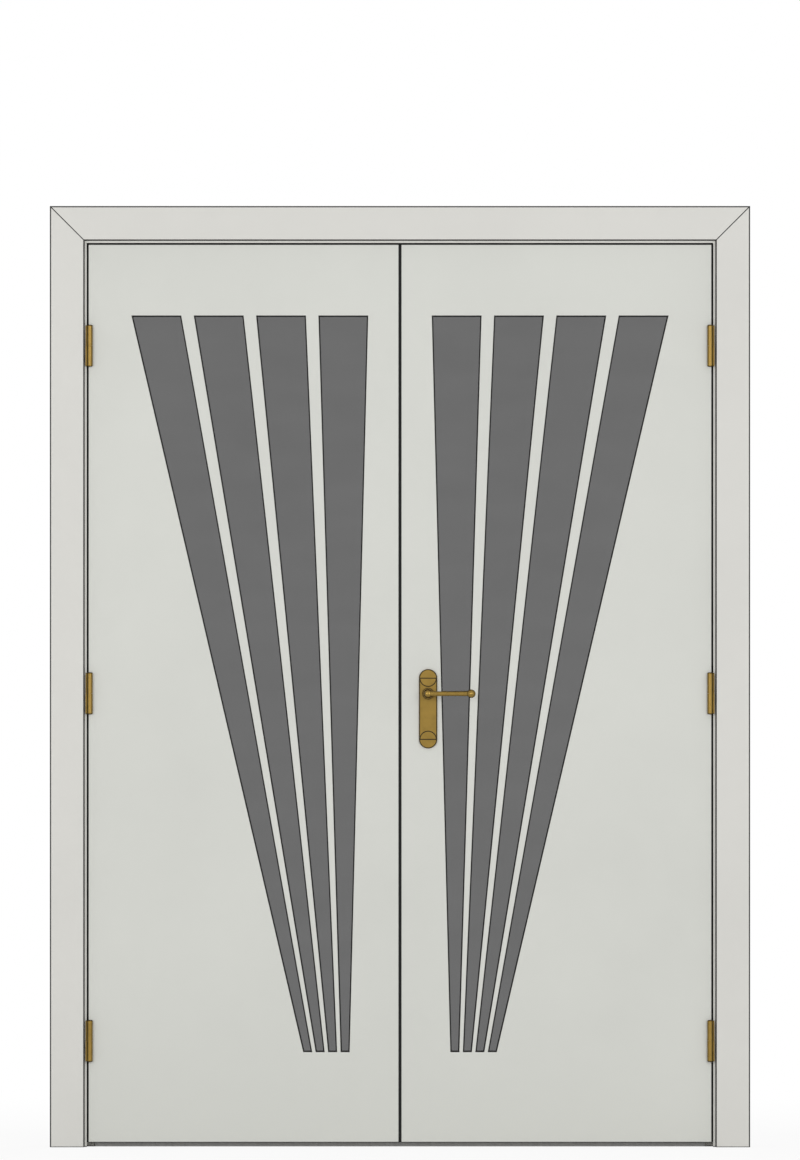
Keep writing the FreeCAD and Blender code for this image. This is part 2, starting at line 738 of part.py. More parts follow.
def make_latch_bolt():
    """A bevelled bolt whose tail ends in a strap, with a window for the follower's arm."""
    near = "%s - bolt_thick / 2" % LEAF_MID
    far = "%s + bolt_thick / 2" % LEAF_MID
    nose = "(%s - bolt_throw)" % LATCH_EDGE
    plan = [
        (nose, near),
        (from_edge("bolt_body"), near),
        (from_edge("bolt_body"), far),
        (LATCH_EDGE, far),
        (nose, "%s + bolt_tip" % near),
    ]
    low = "%s - bolt_height / 2" % HANDLE
    head = prism("bolt_head", "XY", [plan], low, "bolt_height")
    riser_end = "%s + riser_thick" % STRAP_START
    tail = edge_bar("bolt_tail", "bolt_body", riser_end, "(tail_side / 2)")
    half_window = "(arm_thick / 2 + window_clear)"
    half_strap = "(%s + strap_web)" % half_window
    near = "%s - %s" % (LEAF_MID, half_strap)
    far = "%s + %s" % (LEAF_MID, half_strap)
    sole = "%s + hub_radius + strap_clear" % HANDLE
    crest = "%s + strap_thick" % sole
    riser = box(
        "bolt_riser",
        (from_edge(STRAP_START), near, "%s - tail_side / 2" % HANDLE),
        (from_edge(riser_end), far, crest),
    )
    strap = box("bolt_strap", (from_edge(STRAP_START), near, sole), (from_edge(STRAP_END), far, crest))
    low = ("%s - window_lead" % SPINDLE_X, "%s - %s" % (LEAF_MID, half_window), HANDLE)
    above = "%s + %s" % (HANDLE, CASE_SIDE)
    high = ("%s - window_shy" % SPINDLE_X, "%s + %s" % (LEAF_MID, half_window), above)
    window = box("bolt_window", low, high)
    piece(cut("latch_bolt", fused("bolt_blank", [head, tail, riser, strap]), [window]))


def make_follower():
    """The hub that the spindle turns, with an arm that draws the strap back."""
    near = "%s - %s / 2" % (LEAF_MID, CASE_SIDE)
    hub = rod("follower_hub", (SPINDLE_X, near, HANDLE), "Y", CASE_SIDE, "hub_radius")
    side = "(arm_width / 2)"
    outline = [("-" + side, "0"), (side, "0"), (side, ARM_LENGTH), ("-" + side, ARM_LENGTH)]
    arm = prism("follower_arm", "XZ", [outline], "0", "arm_thick")
    tilt = FreeCAD.Rotation(V(0, 1, 0), -number("arm_tilt"))
    place(arm, (SPINDLE_X, "%s + arm_thick / 2" % LEAF_MID, HANDLE), tilt)
    bind(arm, "Placement.Rotation.Angle", "-arm_tilt")
    piece(cut("latch_follower", fused("follower_blank", [hub, arm]), [spindle_bar("follower_hole", "1")]))


def make_latch_spring():
    """The outer form of the coil between the bolt and the case's guide."""
    start = (from_edge("bolt_body"), LEAF_MID, HANDLE)
    length = "%s - bolt_body" % GUIDE_START
    radius = "tail_side / 2 * 2 ^ 0.5 + spring_clear"
    outer = rod("spring_outer", start, "X", length, "%s + spring_wire" % radius)
    inner = rod("spring_inner", start, "X", length, radius)
    piece(cut("latch_spring", outer, [inner]))


# Lever handles on both faces of the active leaf

def spindle_bar(name, clear):
    """The square spindle, or a hole for it with the stated multiple of its clearance."""
    side = "(spindle_side / 2 + %s * spindle_clear)" % clear
    low = ("%s - %s" % (SPINDLE_X, side), "%s - spindle_reach" % FRONT, "%s - %s" % (HANDLE, side))
    high = ("%s + %s" % (SPINDLE_X, side), "%s + spindle_reach" % LEAF_BACK, "%s + %s" % (HANDLE, side))
    return box(name, low, high)


def escutcheon_outline(body):
    """Two straight sides joined by half circles, tied to the sheet."""
    drawing = body.newObject("Sketcher::SketchObject", body.Name + "_outline")
    drawing.AttachmentSupport = [
        (datum, "") for datum in body.Origin.OriginFeatures if datum.Role == "XZ_Plane"
    ]
    drawing.MapMode = "FlatFace"
    half = number("escutcheon_width / 2")
    middle = number(SPINDLE_X)
    top_text = "(%s + escutcheon_rise - escutcheon_width / 2)" % HANDLE
    foot_text = "(%s - escutcheon_drop + escutcheon_width / 2)" % HANDLE
    top, foot = number(top_text), number(foot_text)
    across = V(half, 0, 0)
    upper, lower = V(middle, top, 0), V(middle, foot, 0)
    drawing.addGeometry(Part.Arc(upper + across, upper + V(0, half, 0), upper - across), False)
    drawing.addGeometry(Part.LineSegment(upper - across, lower - across), False)
    drawing.addGeometry(Part.Arc(lower - across, lower - V(0, half, 0), lower + across), False)
    drawing.addGeometry(Part.LineSegment(lower + across, upper + across), False)
    for line in range(4):
        drawing.addConstraint(Sketcher.Constraint("Tangent", line, 2, (line + 1) % 4, 1))
    rules = (
        (Sketcher.Constraint("Radius", 0, half), "escutcheon_width / 2"),
        (Sketcher.Constraint("DistanceX", -1, 1, 0, 3, middle), SPINDLE_X),
        (Sketcher.Constraint("DistanceY", -1, 1, 0, 3, top), top_text),
        (Sketcher.Constraint("DistanceX", -1, 1, 2, 3, middle), SPINDLE_X),
        (Sketcher.Constraint("DistanceY", -1, 1, 2, 3, foot), foot_text),
    )
    for rule, text in rules:
        bind(drawing, "Constraints[%d]" % drawing.addConstraint(rule), text)
    return drawing


def escutcheon_plate():
    """A plate with round ends, an eased face and a raised collar round the lever's neck."""
    plate = DOC.addObject("PartDesign::Body", "escutcheon_plate")
    pad = plate.newObject("PartDesign::Pad", "escutcheon_plate_pad")
    pad.Profile = escutcheon_outline(plate)
    bind(pad, "Length", "escutcheon_thick")
    place(plate, ("0", FRONT, "0"))
    DOC.recompute()
    face = -number("escutcheon_thick")
    rim = [
        "Edge%d" % count
        for count, edge in enumerate(pad.Shape.Edges, 1)
        if all(abs(end.Point.y - face) < number("escutcheon_ease") / 2 for end in edge.Vertexes)
    ]
    ease = plate.newObject("PartDesign::Chamfer", "escutcheon_plate_ease")
    ease.Base = (pad, rim)
    bind(ease, "Size", "escutcheon_ease")
    face = "(%s - escutcheon_thick)" % FRONT
    start = (SPINDLE_X, "%s - collar_height" % face, HANDLE)
    collar = rod("escutcheon_collar", start, "Y", "collar_height", "collar_radius")
    start = (SPINDLE_X, "%s - collar_height - %s" % (face, OVERCUT), HANDLE)
    length = "escutcheon_thick + collar_height + 2 * %s" % OVERCUT
    bore = rod("escutcheon_bore", start, "Y", length, "neck_radius + hub_clear")
    return cut("escutcheon_front", fused("escutcheon_blank", [plate, collar]), [bore])


def turned_arm(name, start):
    """The lever's arm and knob, turned in one piece: the knob's straight bands touch a circle."""
    root = "lever_reach - (knob_radius ^ 2 - lever_radius ^ 2) ^ 0.5"
    outline = [("0", "0"), ("0", "lever_radius"), (root, "lever_radius")]
    half_side = math.pi / KNOB_SIDES
    for corner in range(1, KNOB_SIDES // 2):
        turn = (2 * corner + 1) * half_side
        along = -math.cos(turn) / math.cos(half_side)
        out = math.sin(turn) / math.cos(half_side)
        outline.append(("lever_reach + (%.6f) * knob_radius" % along, "%.6f * knob_radius" % out))
    outline.append(("lever_reach + knob_radius", "0"))
    body = DOC.addObject("PartDesign::Body", name)
    turning = body.newObject("PartDesign::Revolution", name + "_turning")
    turning.Profile = sketch(body, "XZ_Plane", [outline])
    turning.ReferenceAxis = (turning.Profile[0], ["H_Axis"])
    turning.Angle = 360
    place(body, start)
    return body


def make_handles():
    front = piece(escutcheon_plate())
    piece(through_leaf("escutcheon_rear", front))

    arm_y = "(%s - lever_stand)" % FRONT
    nose_y = "(%s - neck_nose)" % arm_y
    neck_length = "%s - neck_entry - %s" % (FRONT, nose_y)
    parts = [
        rod("lever_neck", (SPINDLE_X, nose_y, HANDLE), "Y", neck_length, "neck_radius"),
        turned_arm("lever_arm", (SPINDLE_X, arm_y, HANDLE)),
    ]
    front = piece(cut("lever_front", fused("lever_blank", parts), [spindle_bar("lever_socket", "1")]))
    piece(through_leaf("lever_rear", front))
    piece(spindle_bar("spindle", "0"))


# Sliding bolts let into the inactive leaf's meeting edge

SHOOT_CENTRE = "(%s - shoot_drop)" % LEAF_TOP
SHOOT_TIP = "(%s - shoot_shy)" % LEAF_TOP
THUMB_LOW = "(%s - (thumb_height + shoot_throw) / 2)" % SHOOT_CENTRE


def centred(height):
    return "%s - %s / 2" % (SHOOT_CENTRE, height), "%s + %s / 2" % (SHOOT_CENTRE, height)


def shoot_case_blank(name):
    low, high = centred("shoot_face_height")
    across = ("%s - shoot_face_width / 2" % LEAF_MID, "%s + shoot_face_width / 2" % LEAF_MID)
    back = "%s - shoot_face_thick" % MEETING_EDGE
    face = box(name + "_face", (back, across[0], low), (MEETING_EDGE, across[1], high))
    low, high = centred("shoot_case_height")
    across = ("%s - shoot_case_width / 2" % LEAF_MID, "%s + shoot_case_width / 2" % LEAF_MID)
    deep = "%s - shoot_case_depth" % MEETING_EDGE
    case = box(name + "_case", (deep, across[0], low), (back, across[1], high))
    return fused(name, [face, case])


def shoot_channel(name):
    """The square channel from the foot of the case to the leaf's end."""
    low = centred("shoot_case_height")[0]
    return shoot_bar(name, low, "%s + %s" % (LEAF_TOP, OVERCUT), "shoot_clear")


def shoot_cutters():
    cutter = fused("shoot_cutter", [shoot_case_blank("shoot_pocket"), shoot_channel("shoot_bore")])
    return [cutter, top_to_bottom("shoot_cutter_bottom", cutter)]


def make_shoot_bolts():
    slot = box(
        "thumb_slot",
        (SHOOT_X, "%s - thumb_width / 2 - thumb_clear" % LEAF_MID, "%s - thumb_clear" % THUMB_LOW),
        (
            "%s + %s" % (MEETING_EDGE, OVERCUT),
            "%s + thumb_width / 2 + thumb_clear" % LEAF_MID,
            "%s + thumb_height + shoot_throw + thumb_clear" % THUMB_LOW,
        ),
    )
    tools = [shoot_channel("case_channel"), slot]
    case = cut("shoot_case_top", shoot_case_blank("shoot_case_blank"), tools)
    shaft = shoot_bar("shoot_shaft", centred("shoot_case_height")[0], SHOOT_TIP, "0")
    thumb = box(
        "shoot_thumb",
        (SHOOT_X, "%s - thumb_width / 2" % LEAF_MID, THUMB_LOW),
        (MEETING_EDGE, "%s + thumb_width / 2" % LEAF_MID, "%s + thumb_height" % THUMB_LOW),
    )
    bolt = fused("shoot_bolt_top", [shaft, thumb])
    for top in (case, bolt):
        piece(top)
        piece(top_to_bottom(top.Name.replace("top", "bottom"), top))


def check_document():
    """Stop at any object that failed or any sub-part that is not a sound solid."""
    for thing in DOC.Objects:
        if "Invalid" in thing.State or "Error" in thing.State:
            raise RuntimeError("%s did not compute" % thing.Label)
    for thing in PIECES:
        shape = thing.Shape
        if shape.isNull() or not shape.isValid() or not shape.Solids:
            raise RuntimeError("%s has no sound solid" % thing.Label)


make_jambs()
make_head()
make_stops()
make_threshold()
make_casings()
make_hinges()
leaf_blanks = make_leaf_blanks()
make_left_leaf(leaf_blanks)
make_right_leaf(leaf_blanks)
make_latch_case()
make_latch_bolt()
make_follower()
make_latch_spring()
make_handles()
make_shoot_bolts()
DOC.recompute()
check_document()
os.makedirs("parts", exist_ok=True)
for finished in PIECES:
    finished.Shape.exportStep("parts/%s.step" % finished.Label)
print("%d sub-parts written" % len(PIECES))
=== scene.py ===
import json
import math

import bmesh
import bpy
import numpy as np
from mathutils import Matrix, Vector


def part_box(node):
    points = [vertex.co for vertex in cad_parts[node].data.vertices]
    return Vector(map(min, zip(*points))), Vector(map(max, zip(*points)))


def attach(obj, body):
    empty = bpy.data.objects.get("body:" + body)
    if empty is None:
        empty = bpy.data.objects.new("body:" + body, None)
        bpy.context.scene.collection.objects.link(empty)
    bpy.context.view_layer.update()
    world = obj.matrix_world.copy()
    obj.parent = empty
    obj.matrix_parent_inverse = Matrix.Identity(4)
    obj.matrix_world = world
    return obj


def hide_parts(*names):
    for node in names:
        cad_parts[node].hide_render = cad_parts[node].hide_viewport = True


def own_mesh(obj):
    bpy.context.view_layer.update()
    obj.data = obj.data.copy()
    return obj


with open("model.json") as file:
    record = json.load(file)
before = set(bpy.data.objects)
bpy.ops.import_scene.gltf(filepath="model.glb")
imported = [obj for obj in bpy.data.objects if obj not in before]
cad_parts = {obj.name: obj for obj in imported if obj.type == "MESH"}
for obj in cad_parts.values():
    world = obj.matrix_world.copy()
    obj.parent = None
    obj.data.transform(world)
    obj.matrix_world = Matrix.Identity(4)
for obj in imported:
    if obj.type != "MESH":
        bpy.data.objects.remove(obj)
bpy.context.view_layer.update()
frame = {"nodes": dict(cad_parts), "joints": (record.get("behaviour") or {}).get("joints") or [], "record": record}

MM = 0.001
NODES = frame["nodes"]


# Places taken from the solids

def low(node):
    return np.array(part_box(node)[0])


def high(node):
    return np.array(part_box(node)[1])


def middle(node):
    return (low(node) + high(node)) / 2


# Shader maths

BAND_SOFT = 0.2
NOISE_SPAN = (0.3, 0.7)


class Value:
    """A socket whose arithmetic adds Math nodes to its finish."""

    def __init__(self, finish, socket):
        self.finish = finish
        self.socket = socket

    def math(self, operation, first, second=None):
        sockets = {0: first} if second is None else {0: first, 1: second}
        return self.finish.node("ShaderNodeMath", {"operation": operation}, sockets)

    def __add__(self, other):
        return self.math("ADD", self, other)

    def __radd__(self, other):
        return self.math("ADD", other, self)

    def __sub__(self, other):
        return self.math("SUBTRACT", self, other)

    def __rsub__(self, other):
        return self.math("SUBTRACT", other, self)

    def __mul__(self, other):
        return self.math("MULTIPLY", self, other)

    def __rmul__(self, other):
        return self.math("MULTIPLY", other, self)

    def __lt__(self, other):
        return self.math("LESS_THAN", self, other)

    def __gt__(self, other):
        return self.math("GREATER_THAN", self, other)

    def __abs__(self):
        return self.math("ABSOLUTE", self)


class Finish:
    """A material whose nodes are added by one method."""

    def __init__(self, name, tree=None):
        if tree is None:
            self.material = bpy.data.materials.new(name)
            self.material.use_nodes = True
            tree = self.material.node_tree
        self.tree = tree
        self.tree.nodes.clear()

    def node(self, kind, settings=None, sockets=None, out=0):
        """Adds a node, sets its properties and ramp stops first, then its sockets' values or links."""
        made = self.tree.nodes.new(kind)
        for name, setting in (settings or {}).items():
            if name == "stops":
                ramp = made.color_ramp.elements
                while len(ramp) < len(setting):
                    ramp.new(1.0)
                for stop, (place, colour) in zip(ramp, setting):
                    stop.position = place
                    stop.color = (*colour, 1.0)
            else:
                setattr(made, name, setting)
        for name, given in (sockets or {}).items():
            if isinstance(given, Value):
                self.tree.links.new(given.socket, made.inputs[name])
            else:
                made.inputs[name].default_value = given
        return Value(self, made.outputs[out]) if made.outputs else None

    def place(self):
        """Object coordinates in metres, whole and split into x, y and z."""
        whole = self.node("ShaderNodeTexCoord", out="Object")
        parts = [self.node("ShaderNodeSeparateXYZ", sockets={0: whole}, out=axis) for axis in range(3)]
        return whole, parts

    def noise(self, vector, scale=1.0, detail=3.0, rough=0.55):
        """Cloudy values, most of which lie within NOISE_SPAN."""
        return self.node("ShaderNodeTexNoise", None,
                         {"Vector": vector, "Scale": scale, "Detail": detail, "Roughness": rough})

    def stretched(self, vector, scale):
        return self.node("ShaderNodeMapping", None, {"Vector": vector, "Scale": scale})

    def ramp(self, value, stops):
        return self.node("ShaderNodeValToRGB", {"stops": stops}, {0: value})

    def shades(self, value, colour, stops):
        """One colour made darker or lighter, by stops of a place and a factor."""
        return self.ramp(value, [(place, shaded(colour, factor)) for place, factor in stops])

    def blend(self, share, first, second):
        """A colour between two, by a share from 0 to 1."""
        colours = [(*c, 1.0) if isinstance(c, tuple) else c for c in (first, second)]
        return self.node("ShaderNodeMix", {"data_type": "RGBA"},
                         {"Factor": share, 6: colours[0], 7: colours[1]}, out=2)

    def clamped(self, value, source, target=(0.0, 1.0)):
        """Carries a value from one range to another, held at the ends."""
        return self.node("ShaderNodeMapRange", {"clamp": True}, {
            "Value": value, "From Min": source[0], "From Max": source[1],
            "To Min": target[0], "To Max": target[1]})

    def least(self, first, second):
        return self.node("ShaderNodeMath", {"operation": "MINIMUM"}, {0: first, 1: second})

    def most(self, first, second):
        return self.node("ShaderNodeMath", {"operation": "MAXIMUM"}, {0: first, 1: second})

    def length(self, first, second):
        """The length of a line from its two legs."""
        return self.node("ShaderNodeMath", {"operation": "SQRT"}, {0: first * first + second * second})

    def band(self, distance, width):
        """1 up to a width from a line, falling to 0 just past it."""
        source = (width * (1 - BAND_SOFT), width * (1 + BAND_SOFT))
        return self.clamped(distance, source, (1.0, 0.0))

    def bump(self, height, distance, strength=1.0):
        return self.node("ShaderNodeBump", None,
                         {"Height": height, "Distance": distance, "Strength": strength})

    def surface(self, sockets):
        """Closes the material with one principled shader."""
        shader = self.node("ShaderNodeBsdfPrincipled", None, sockets)
        self.node("ShaderNodeOutputMaterial", None, {"Surface": shader})
        return self.material


def srgb(red, green, blue):
    """A display colour from 0 to 255 as linear light, by the display standard's own curve."""
    shares = np.array((red, green, blue)) / 255
    linear = np.where(shares <= 0.04045, shares / 12.92, ((shares + 0.055) / 1.055) ** 2.4)
    return tuple(float(share) for share in linear)


def shaded(colour, factor):
    return tuple(min(1.0, part * factor) for part in colour)


# Finishes

CASING_FRONT = "casing_front_right"
CASING_INNER_X = float(low(CASING_FRONT)[0])
CASING_INNER_Z = float(high(CASING_FRONT)[2] - (high(CASING_FRONT)[0] - low(CASING_FRONT)[0]))
CASING_OUTER_X = float(high(CASING_FRONT)[0])
CASING_OUTER_Z = float(high(CASING_FRONT)[2])
CASING_FACE_Y = float(high("casing_rear_right")[1])
CASING_ROUND = 4.0 * MM
LEAF_MEETING_X = float(low("meeting_stile_right")[0])
LEAF_HINGE_X = float(high("hinge_stile_right")[0])
LEAF_FOOT_Z = float(low("hinge_stile_right")[2])
LEAF_HEAD_Z = float(high("hinge_stile_right")[2])
LEAF_MID_Y = float(middle("meeting_stile_right")[1])
LEAF_HALF = float(high("meeting_stile_right")[1]) - LEAF_MID_Y

PAINT_SHADES = ((0.30, 0.965), (0.72, 1.02))
PAINT_ROUGH = (0.36, 0.50)
DUST = srgb(150, 146, 136)
DUST_RISE = 0.22
DUST_SHARE = 0.075

# Widths of the bands of painted shade along mitres, arrises, joints, the leaf's outline and the floor line.
MITRE_HALF = 1.5 * MM
JOINT_LINE = 1.6 * MM
OUTER_LINE = 2.9 * MM
OUTER_SHARE = 0.95
INNER_LINE = 1.4 * MM
LEAF_LINE = 1.5 * MM
LINE_DEPTH = 0.4 * MM
FLOOR_LINE = 1.5 * MM
LINE_ROUGH = 0.85
# The near-black of the painted shade lines.
SHADE_LINE_COLOUR = srgb(28, 28, 27)


def casing_shade_lines(paint, x, y, z):
    """Painted shade in the mitres, on the rounded arrises and at the floor: bands about each of those lines."""
    across = abs(x)
    mitre = abs(across - CASING_INNER_X - (z - CASING_INNER_Z))
    in_mitre = paint.band(mitre, MITRE_HALF) * (z > CASING_INNER_Z)
    outer = paint.band(paint.least(CASING_OUTER_X - across, CASING_OUTER_Z - z), OUTER_LINE)
    inner = paint.band(paint.most(across - CASING_INNER_X, z - CASING_INNER_Z), INNER_LINE)
    on_round = abs(y) > CASING_FACE_Y - CASING_ROUND
    at_ends = paint.most(in_mitre, paint.band(z, FLOOR_LINE))
    return paint.most(at_ends, paint.most(outer * OUTER_SHARE, inner) * on_round)


def lining_shade_lines(paint, x, y, z):
    """Painted shade on the lining's edge where the casings' inner edges meet it, and at the floor."""
    inward = paint.least(CASING_INNER_X - abs(x), CASING_INNER_Z - z)
    return paint.most(paint.band(abs(inward), JOINT_LINE), paint.band(z, FLOOR_LINE))


def leaf_shade_lines(paint, x, y, z):
    """Painted shade along the leaf's arrises: a band inside its outline, on its two faces."""
    sides = paint.least(abs(x) - LEAF_MEETING_X, LEAF_HINGE_X - abs(x))
    ends = paint.least(z - LEAF_FOOT_Z, LEAF_HEAD_Z - z)
    on_face = abs(y - LEAF_MID_Y) > LEAF_HALF - LINE_DEPTH
    return paint.band(paint.least(sides, ends), LEAF_LINE) * on_face


def painted_timber(name, colour, lines):
    """Rolled satin paint: fine stipple, faint clouding, a little handling dust low down, and dark lines of painted
    shade.
    """
    paint = Finish(name)
    whole, (x, y, z) = paint.place()
    cloud = paint.noise(whole, scale=2.6, detail=4.0)
    stipple = paint.noise(whole, scale=760.0, detail=2.0, rough=0.6)
    drag = paint.noise(paint.stretched(whole, (260.0, 260.0, 9.0)), detail=2.0)
    tone = paint.shades(cloud, colour, PAINT_SHADES)
    dust = paint.clamped(z, (0.0, DUST_RISE), (DUST_SHARE, 0.0)) * paint.clamped(cloud, (0.35, 0.65))
    tone = paint.blend(dust, tone, DUST)
    dark = lines(paint, x, y, z)
    # The painted shade lines are blended in near-black over the paint.
    tone = paint.blend(dark, tone, SHADE_LINE_COLOUR)
    clean = paint.clamped(cloud * 0.5 + stipple * 0.5, NOISE_SPAN, PAINT_ROUGH)
    rough = paint.most(clean, dark * LINE_ROUGH)
    relief = stipple * 0.7 + drag * 0.3
    return paint.surface({
        "Base Color": tone, "Roughness": rough, "Specular IOR Level": 0.35,
        "Normal": paint.bump(relief, distance=0.12 * MM, strength=0.45)})


WOOD_DARK = srgb(190, 153, 106)
WOOD_LIGHT = srgb(209, 175, 127)
WOOD_ROUGH = (0.6, 0.8)


def raw_timber(name):
    """Unpainted core stock with rings stretched along the upright."""
    wood = Finish(name)
    whole, _ = wood.place()
    along = wood.stretched(whole, (34.0, 34.0, 1.7))
    wander = wood.noise(along, scale=1.2)
    rings = wood.node("ShaderNodeTexWave", {"wave_type": "BANDS", "bands_direction": "X"}, {
        "Vector": along, "Scale": 1.6, "Distortion": 5.0, "Detail": 3.0, "Detail Scale": 1.4}, out=1)
    pores = wood.noise(wood.stretched(whole, (900.0, 900.0, 22.0)), detail=2.0)
    tone = wood.ramp(rings * 0.7 + wander * 0.3, [(0.2, WOOD_DARK), (0.8, WOOD_LIGHT)])
    return wood.surface({
        "Base Color": tone, "Roughness": wood.clamped(pores, NOISE_SPAN, WOOD_ROUGH),
        "Normal": wood.bump(pores * 0.6 + rings * 0.4, distance=0.15 * MM, strength=0.5)})


GLASS_DARK = (0.117,) * 3
GLASS_LIGHT = (0.129,) * 3
GLASS_ROUGH = (0.02, 0.10)


def smoked_glass(name):
    """A grey pane that lets a little light through, with faint wiping marks in its gloss."""
    glass = Finish(name)
    whole, _ = glass.place()
    wiped = glass.noise(glass.stretched(whole, (5.0, 5.0, 16.0)), detail=4.0)
    smear = glass.noise(whole, scale=46.0)
    gloss = glass.clamped(wiped * 0.65 + smear * 0.35, (0.35, 0.70), GLASS_ROUGH)
    tint = glass.ramp(wiped, [(0.30, GLASS_DARK), (0.75, GLASS_LIGHT)])
    return glass.surface({
        "Base Color": tint, "Roughness": gloss, "IOR": 1.45, "Transmission Weight": 1.0})


PLATE = "escutcheon_front"
PLATE_MID = middle(PLATE)
PLATE_HALF = float(high(PLATE)[0] - low(PLATE)[0]) / 2
PLATE_STRAIGHT = float(high(PLATE)[2] - low(PLATE)[2]) / 2 - PLATE_HALF
PLATE_RISE = 6.0 * MM
PLATE_EDGE = 1.9 * MM
RIM_LINE = 2.2 * MM
RIM_SHARE = 0.95
# Dark brown for the painted shade on the plate rims and hinge ends.
BRASS_SHADE_LINE = srgb(50, 39, 16)


def plate_rim_shade(brass, x, y, z):
    """Painted shade on a handle plate's eased edge: a band inside its round-ended outline, near its face."""
    away = x - float(PLATE_MID[0])
    beyond = brass.most(abs(z - float(PLATE_MID[2])) - PLATE_STRAIGHT, 0.0)
    inward = PLATE_HALF - brass.length(away, beyond)
    near_face = abs(y - LEAF_MID_Y) > LEAF_HALF + PLATE_RISE - PLATE_EDGE
    return brass.band(inward, RIM_LINE) * near_face * RIM_SHARE


SPOTS = ("top", "middle", "bottom")
HINGES = ["hinge_leaf_plate_left_" + spot for spot in SPOTS]
HINGE_ENDS = [float(corner(hinge)[2]) for hinge in HINGES for corner in (low, high)]
KNUCKLE_LINE = 1.3 * MM
KNUCKLE_SHARE = 0.8


def knuckle_end_shade(brass, x, y, z):
    """Painted shade where each hinge's knuckles meet its tips: a band about both ends of its height."""
    nearest = abs(z - HINGE_ENDS[0])
    for end in HINGE_ENDS[1:]:
        nearest = brass.least(nearest, abs(z - end))
    return brass.band(nearest, KNUCKLE_LINE) * KNUCKLE_SHARE


BRASS_SHADES = ((0.28, 0.86), (0.55, 1.0), (0.80, 1.10))
BRASS_SMOOTHER = 0.07
BRASS_ROUGHER = 0.11


def satin_brass(name, colour, rough, lines=None):
    """Lacquered brass with a fine brushed grain and slight warm and dull patches."""
    brass = Finish(name)
    whole, (x, y, z) = brass.place()
    brushed = brass.noise(brass.stretched(whole, (420.0, 420.0, 5200.0)))
    patch = brass.noise(whole, scale=52.0, detail=4.0)
    tone = brass.shades(patch, colour, BRASS_SHADES)
    if lines:
        # Painted shade lines, where the finish has them, blended in dark brown.
        tone = brass.blend(lines(brass, x, y, z), tone, BRASS_SHADE_LINE)
    spread = (rough - BRASS_SMOOTHER, rough + BRASS_ROUGHER)
    gloss = brass.clamped(patch * 0.55 + brushed * 0.45, NOISE_SPAN, spread)
    return brass.surface({
        "Base Color": tone, "Metallic": 1.0, "Roughness": gloss,
        "Normal": brass.bump(brushed, distance=0.02 * MM, strength=0.35),
        "Coat Weight": 0.15, "Coat Roughness": 0.18})


STEEL_DARK = (0.40, 0.40, 0.39)
STEEL_LIGHT = (0.50, 0.50, 0.50)
STEEL_ROUGH = (0.26, 0.44)


def plated_steel(name):
    """Bright plating with a brushed grain and dull patches."""
    steel = Finish(name)
    whole, _ = steel.place()
    brushed = steel.noise(steel.stretched(whole, (500.0, 500.0, 4800.0)))
    patch = steel.noise(whole, scale=70.0)
    tone = steel.ramp(patch, [(0.3, STEEL_DARK), (0.75, STEEL_LIGHT)])
    return steel.surface({
        "Base Color": tone, "Metallic": 1.0,
        "Roughness": steel.clamped(patch * 0.5 + brushed * 0.5, NOISE_SPAN, STEEL_ROUGH),
        "Normal": steel.bump(brushed, distance=0.02 * MM, strength=0.4)})


RUBBER_DARK = (0.008,) * 3
RUBBER_BLOOM = (0.016,) * 3
RUBBER_ROUGH = (0.55, 0.75)


def seal_rubber(name):
    """Black moulded rubber, slightly bloomed."""
    rubber = Finish(name)
    whole, _ = rubber.place()
    bloom = rubber.noise(whole, scale=130.0, detail=4.0)
    skin = rubber.noise(whole, scale=2300.0, detail=2.0)
    tone = rubber.ramp(bloom, [(0.35, RUBBER_DARK), (0.80, RUBBER_BLOOM)])
    return rubber.surface({
        "Base Color": tone, "Roughness": rubber.clamped(bloom, NOISE_SPAN, RUBBER_ROUGH),
        "Specular IOR Level": 0.3, "Normal": rubber.bump(skin, distance=0.04 * MM, strength=0.5)})


BAR_GREY = srgb(148, 148, 146)
BAR_SHADES = ((0.30, 0.9), (0.72, 1.12))
BAR_ROUGH = (0.38, 0.58)


def anodised_bar(name):
    """Grey anodised extrusion with drawing lines along its length and scuffs across it."""
    bar = Finish(name)
    whole, _ = bar.place()
    drawn = bar.noise(bar.stretched(whole, (3.0, 1500.0, 1500.0)))
    scuff = bar.noise(bar.stretched(whole, (120.0, 24.0, 24.0)), detail=4.0)
    tone = bar.shades(scuff, BAR_GREY, BAR_SHADES)
    return bar.surface({
        "Base Color": tone, "Metallic": 0.55,
        "Roughness": bar.clamped(drawn * 0.5 + scuff * 0.5, NOISE_SPAN, BAR_ROUGH),
        "Normal": bar.bump(drawn, distance=0.03 * MM, strength=0.5)})


LINE_DARK = srgb(24, 19, 9)
LINE_LIGHT = srgb(46, 37, 18)
CUT_ROUGH = (0.6, 0.8)


def darkened_line(name):
    """Black for the lines cut into the handle plates, and for the rings of painted shade on the collars and
    levers.
    """
    line = Finish(name)
    whole, _ = line.place()
    patch = line.noise(whole, scale=420.0)
    tone = line.ramp(patch, [(0.3, LINE_DARK), (0.75, LINE_LIGHT)])
    return line.surface({
        "Base Color": tone, "Roughness": line.clamped(patch, NOISE_SPAN, CUT_ROUGH),
        "Specular IOR Level": 0.2})


BRASS_TONE = srgb(140, 114, 55)
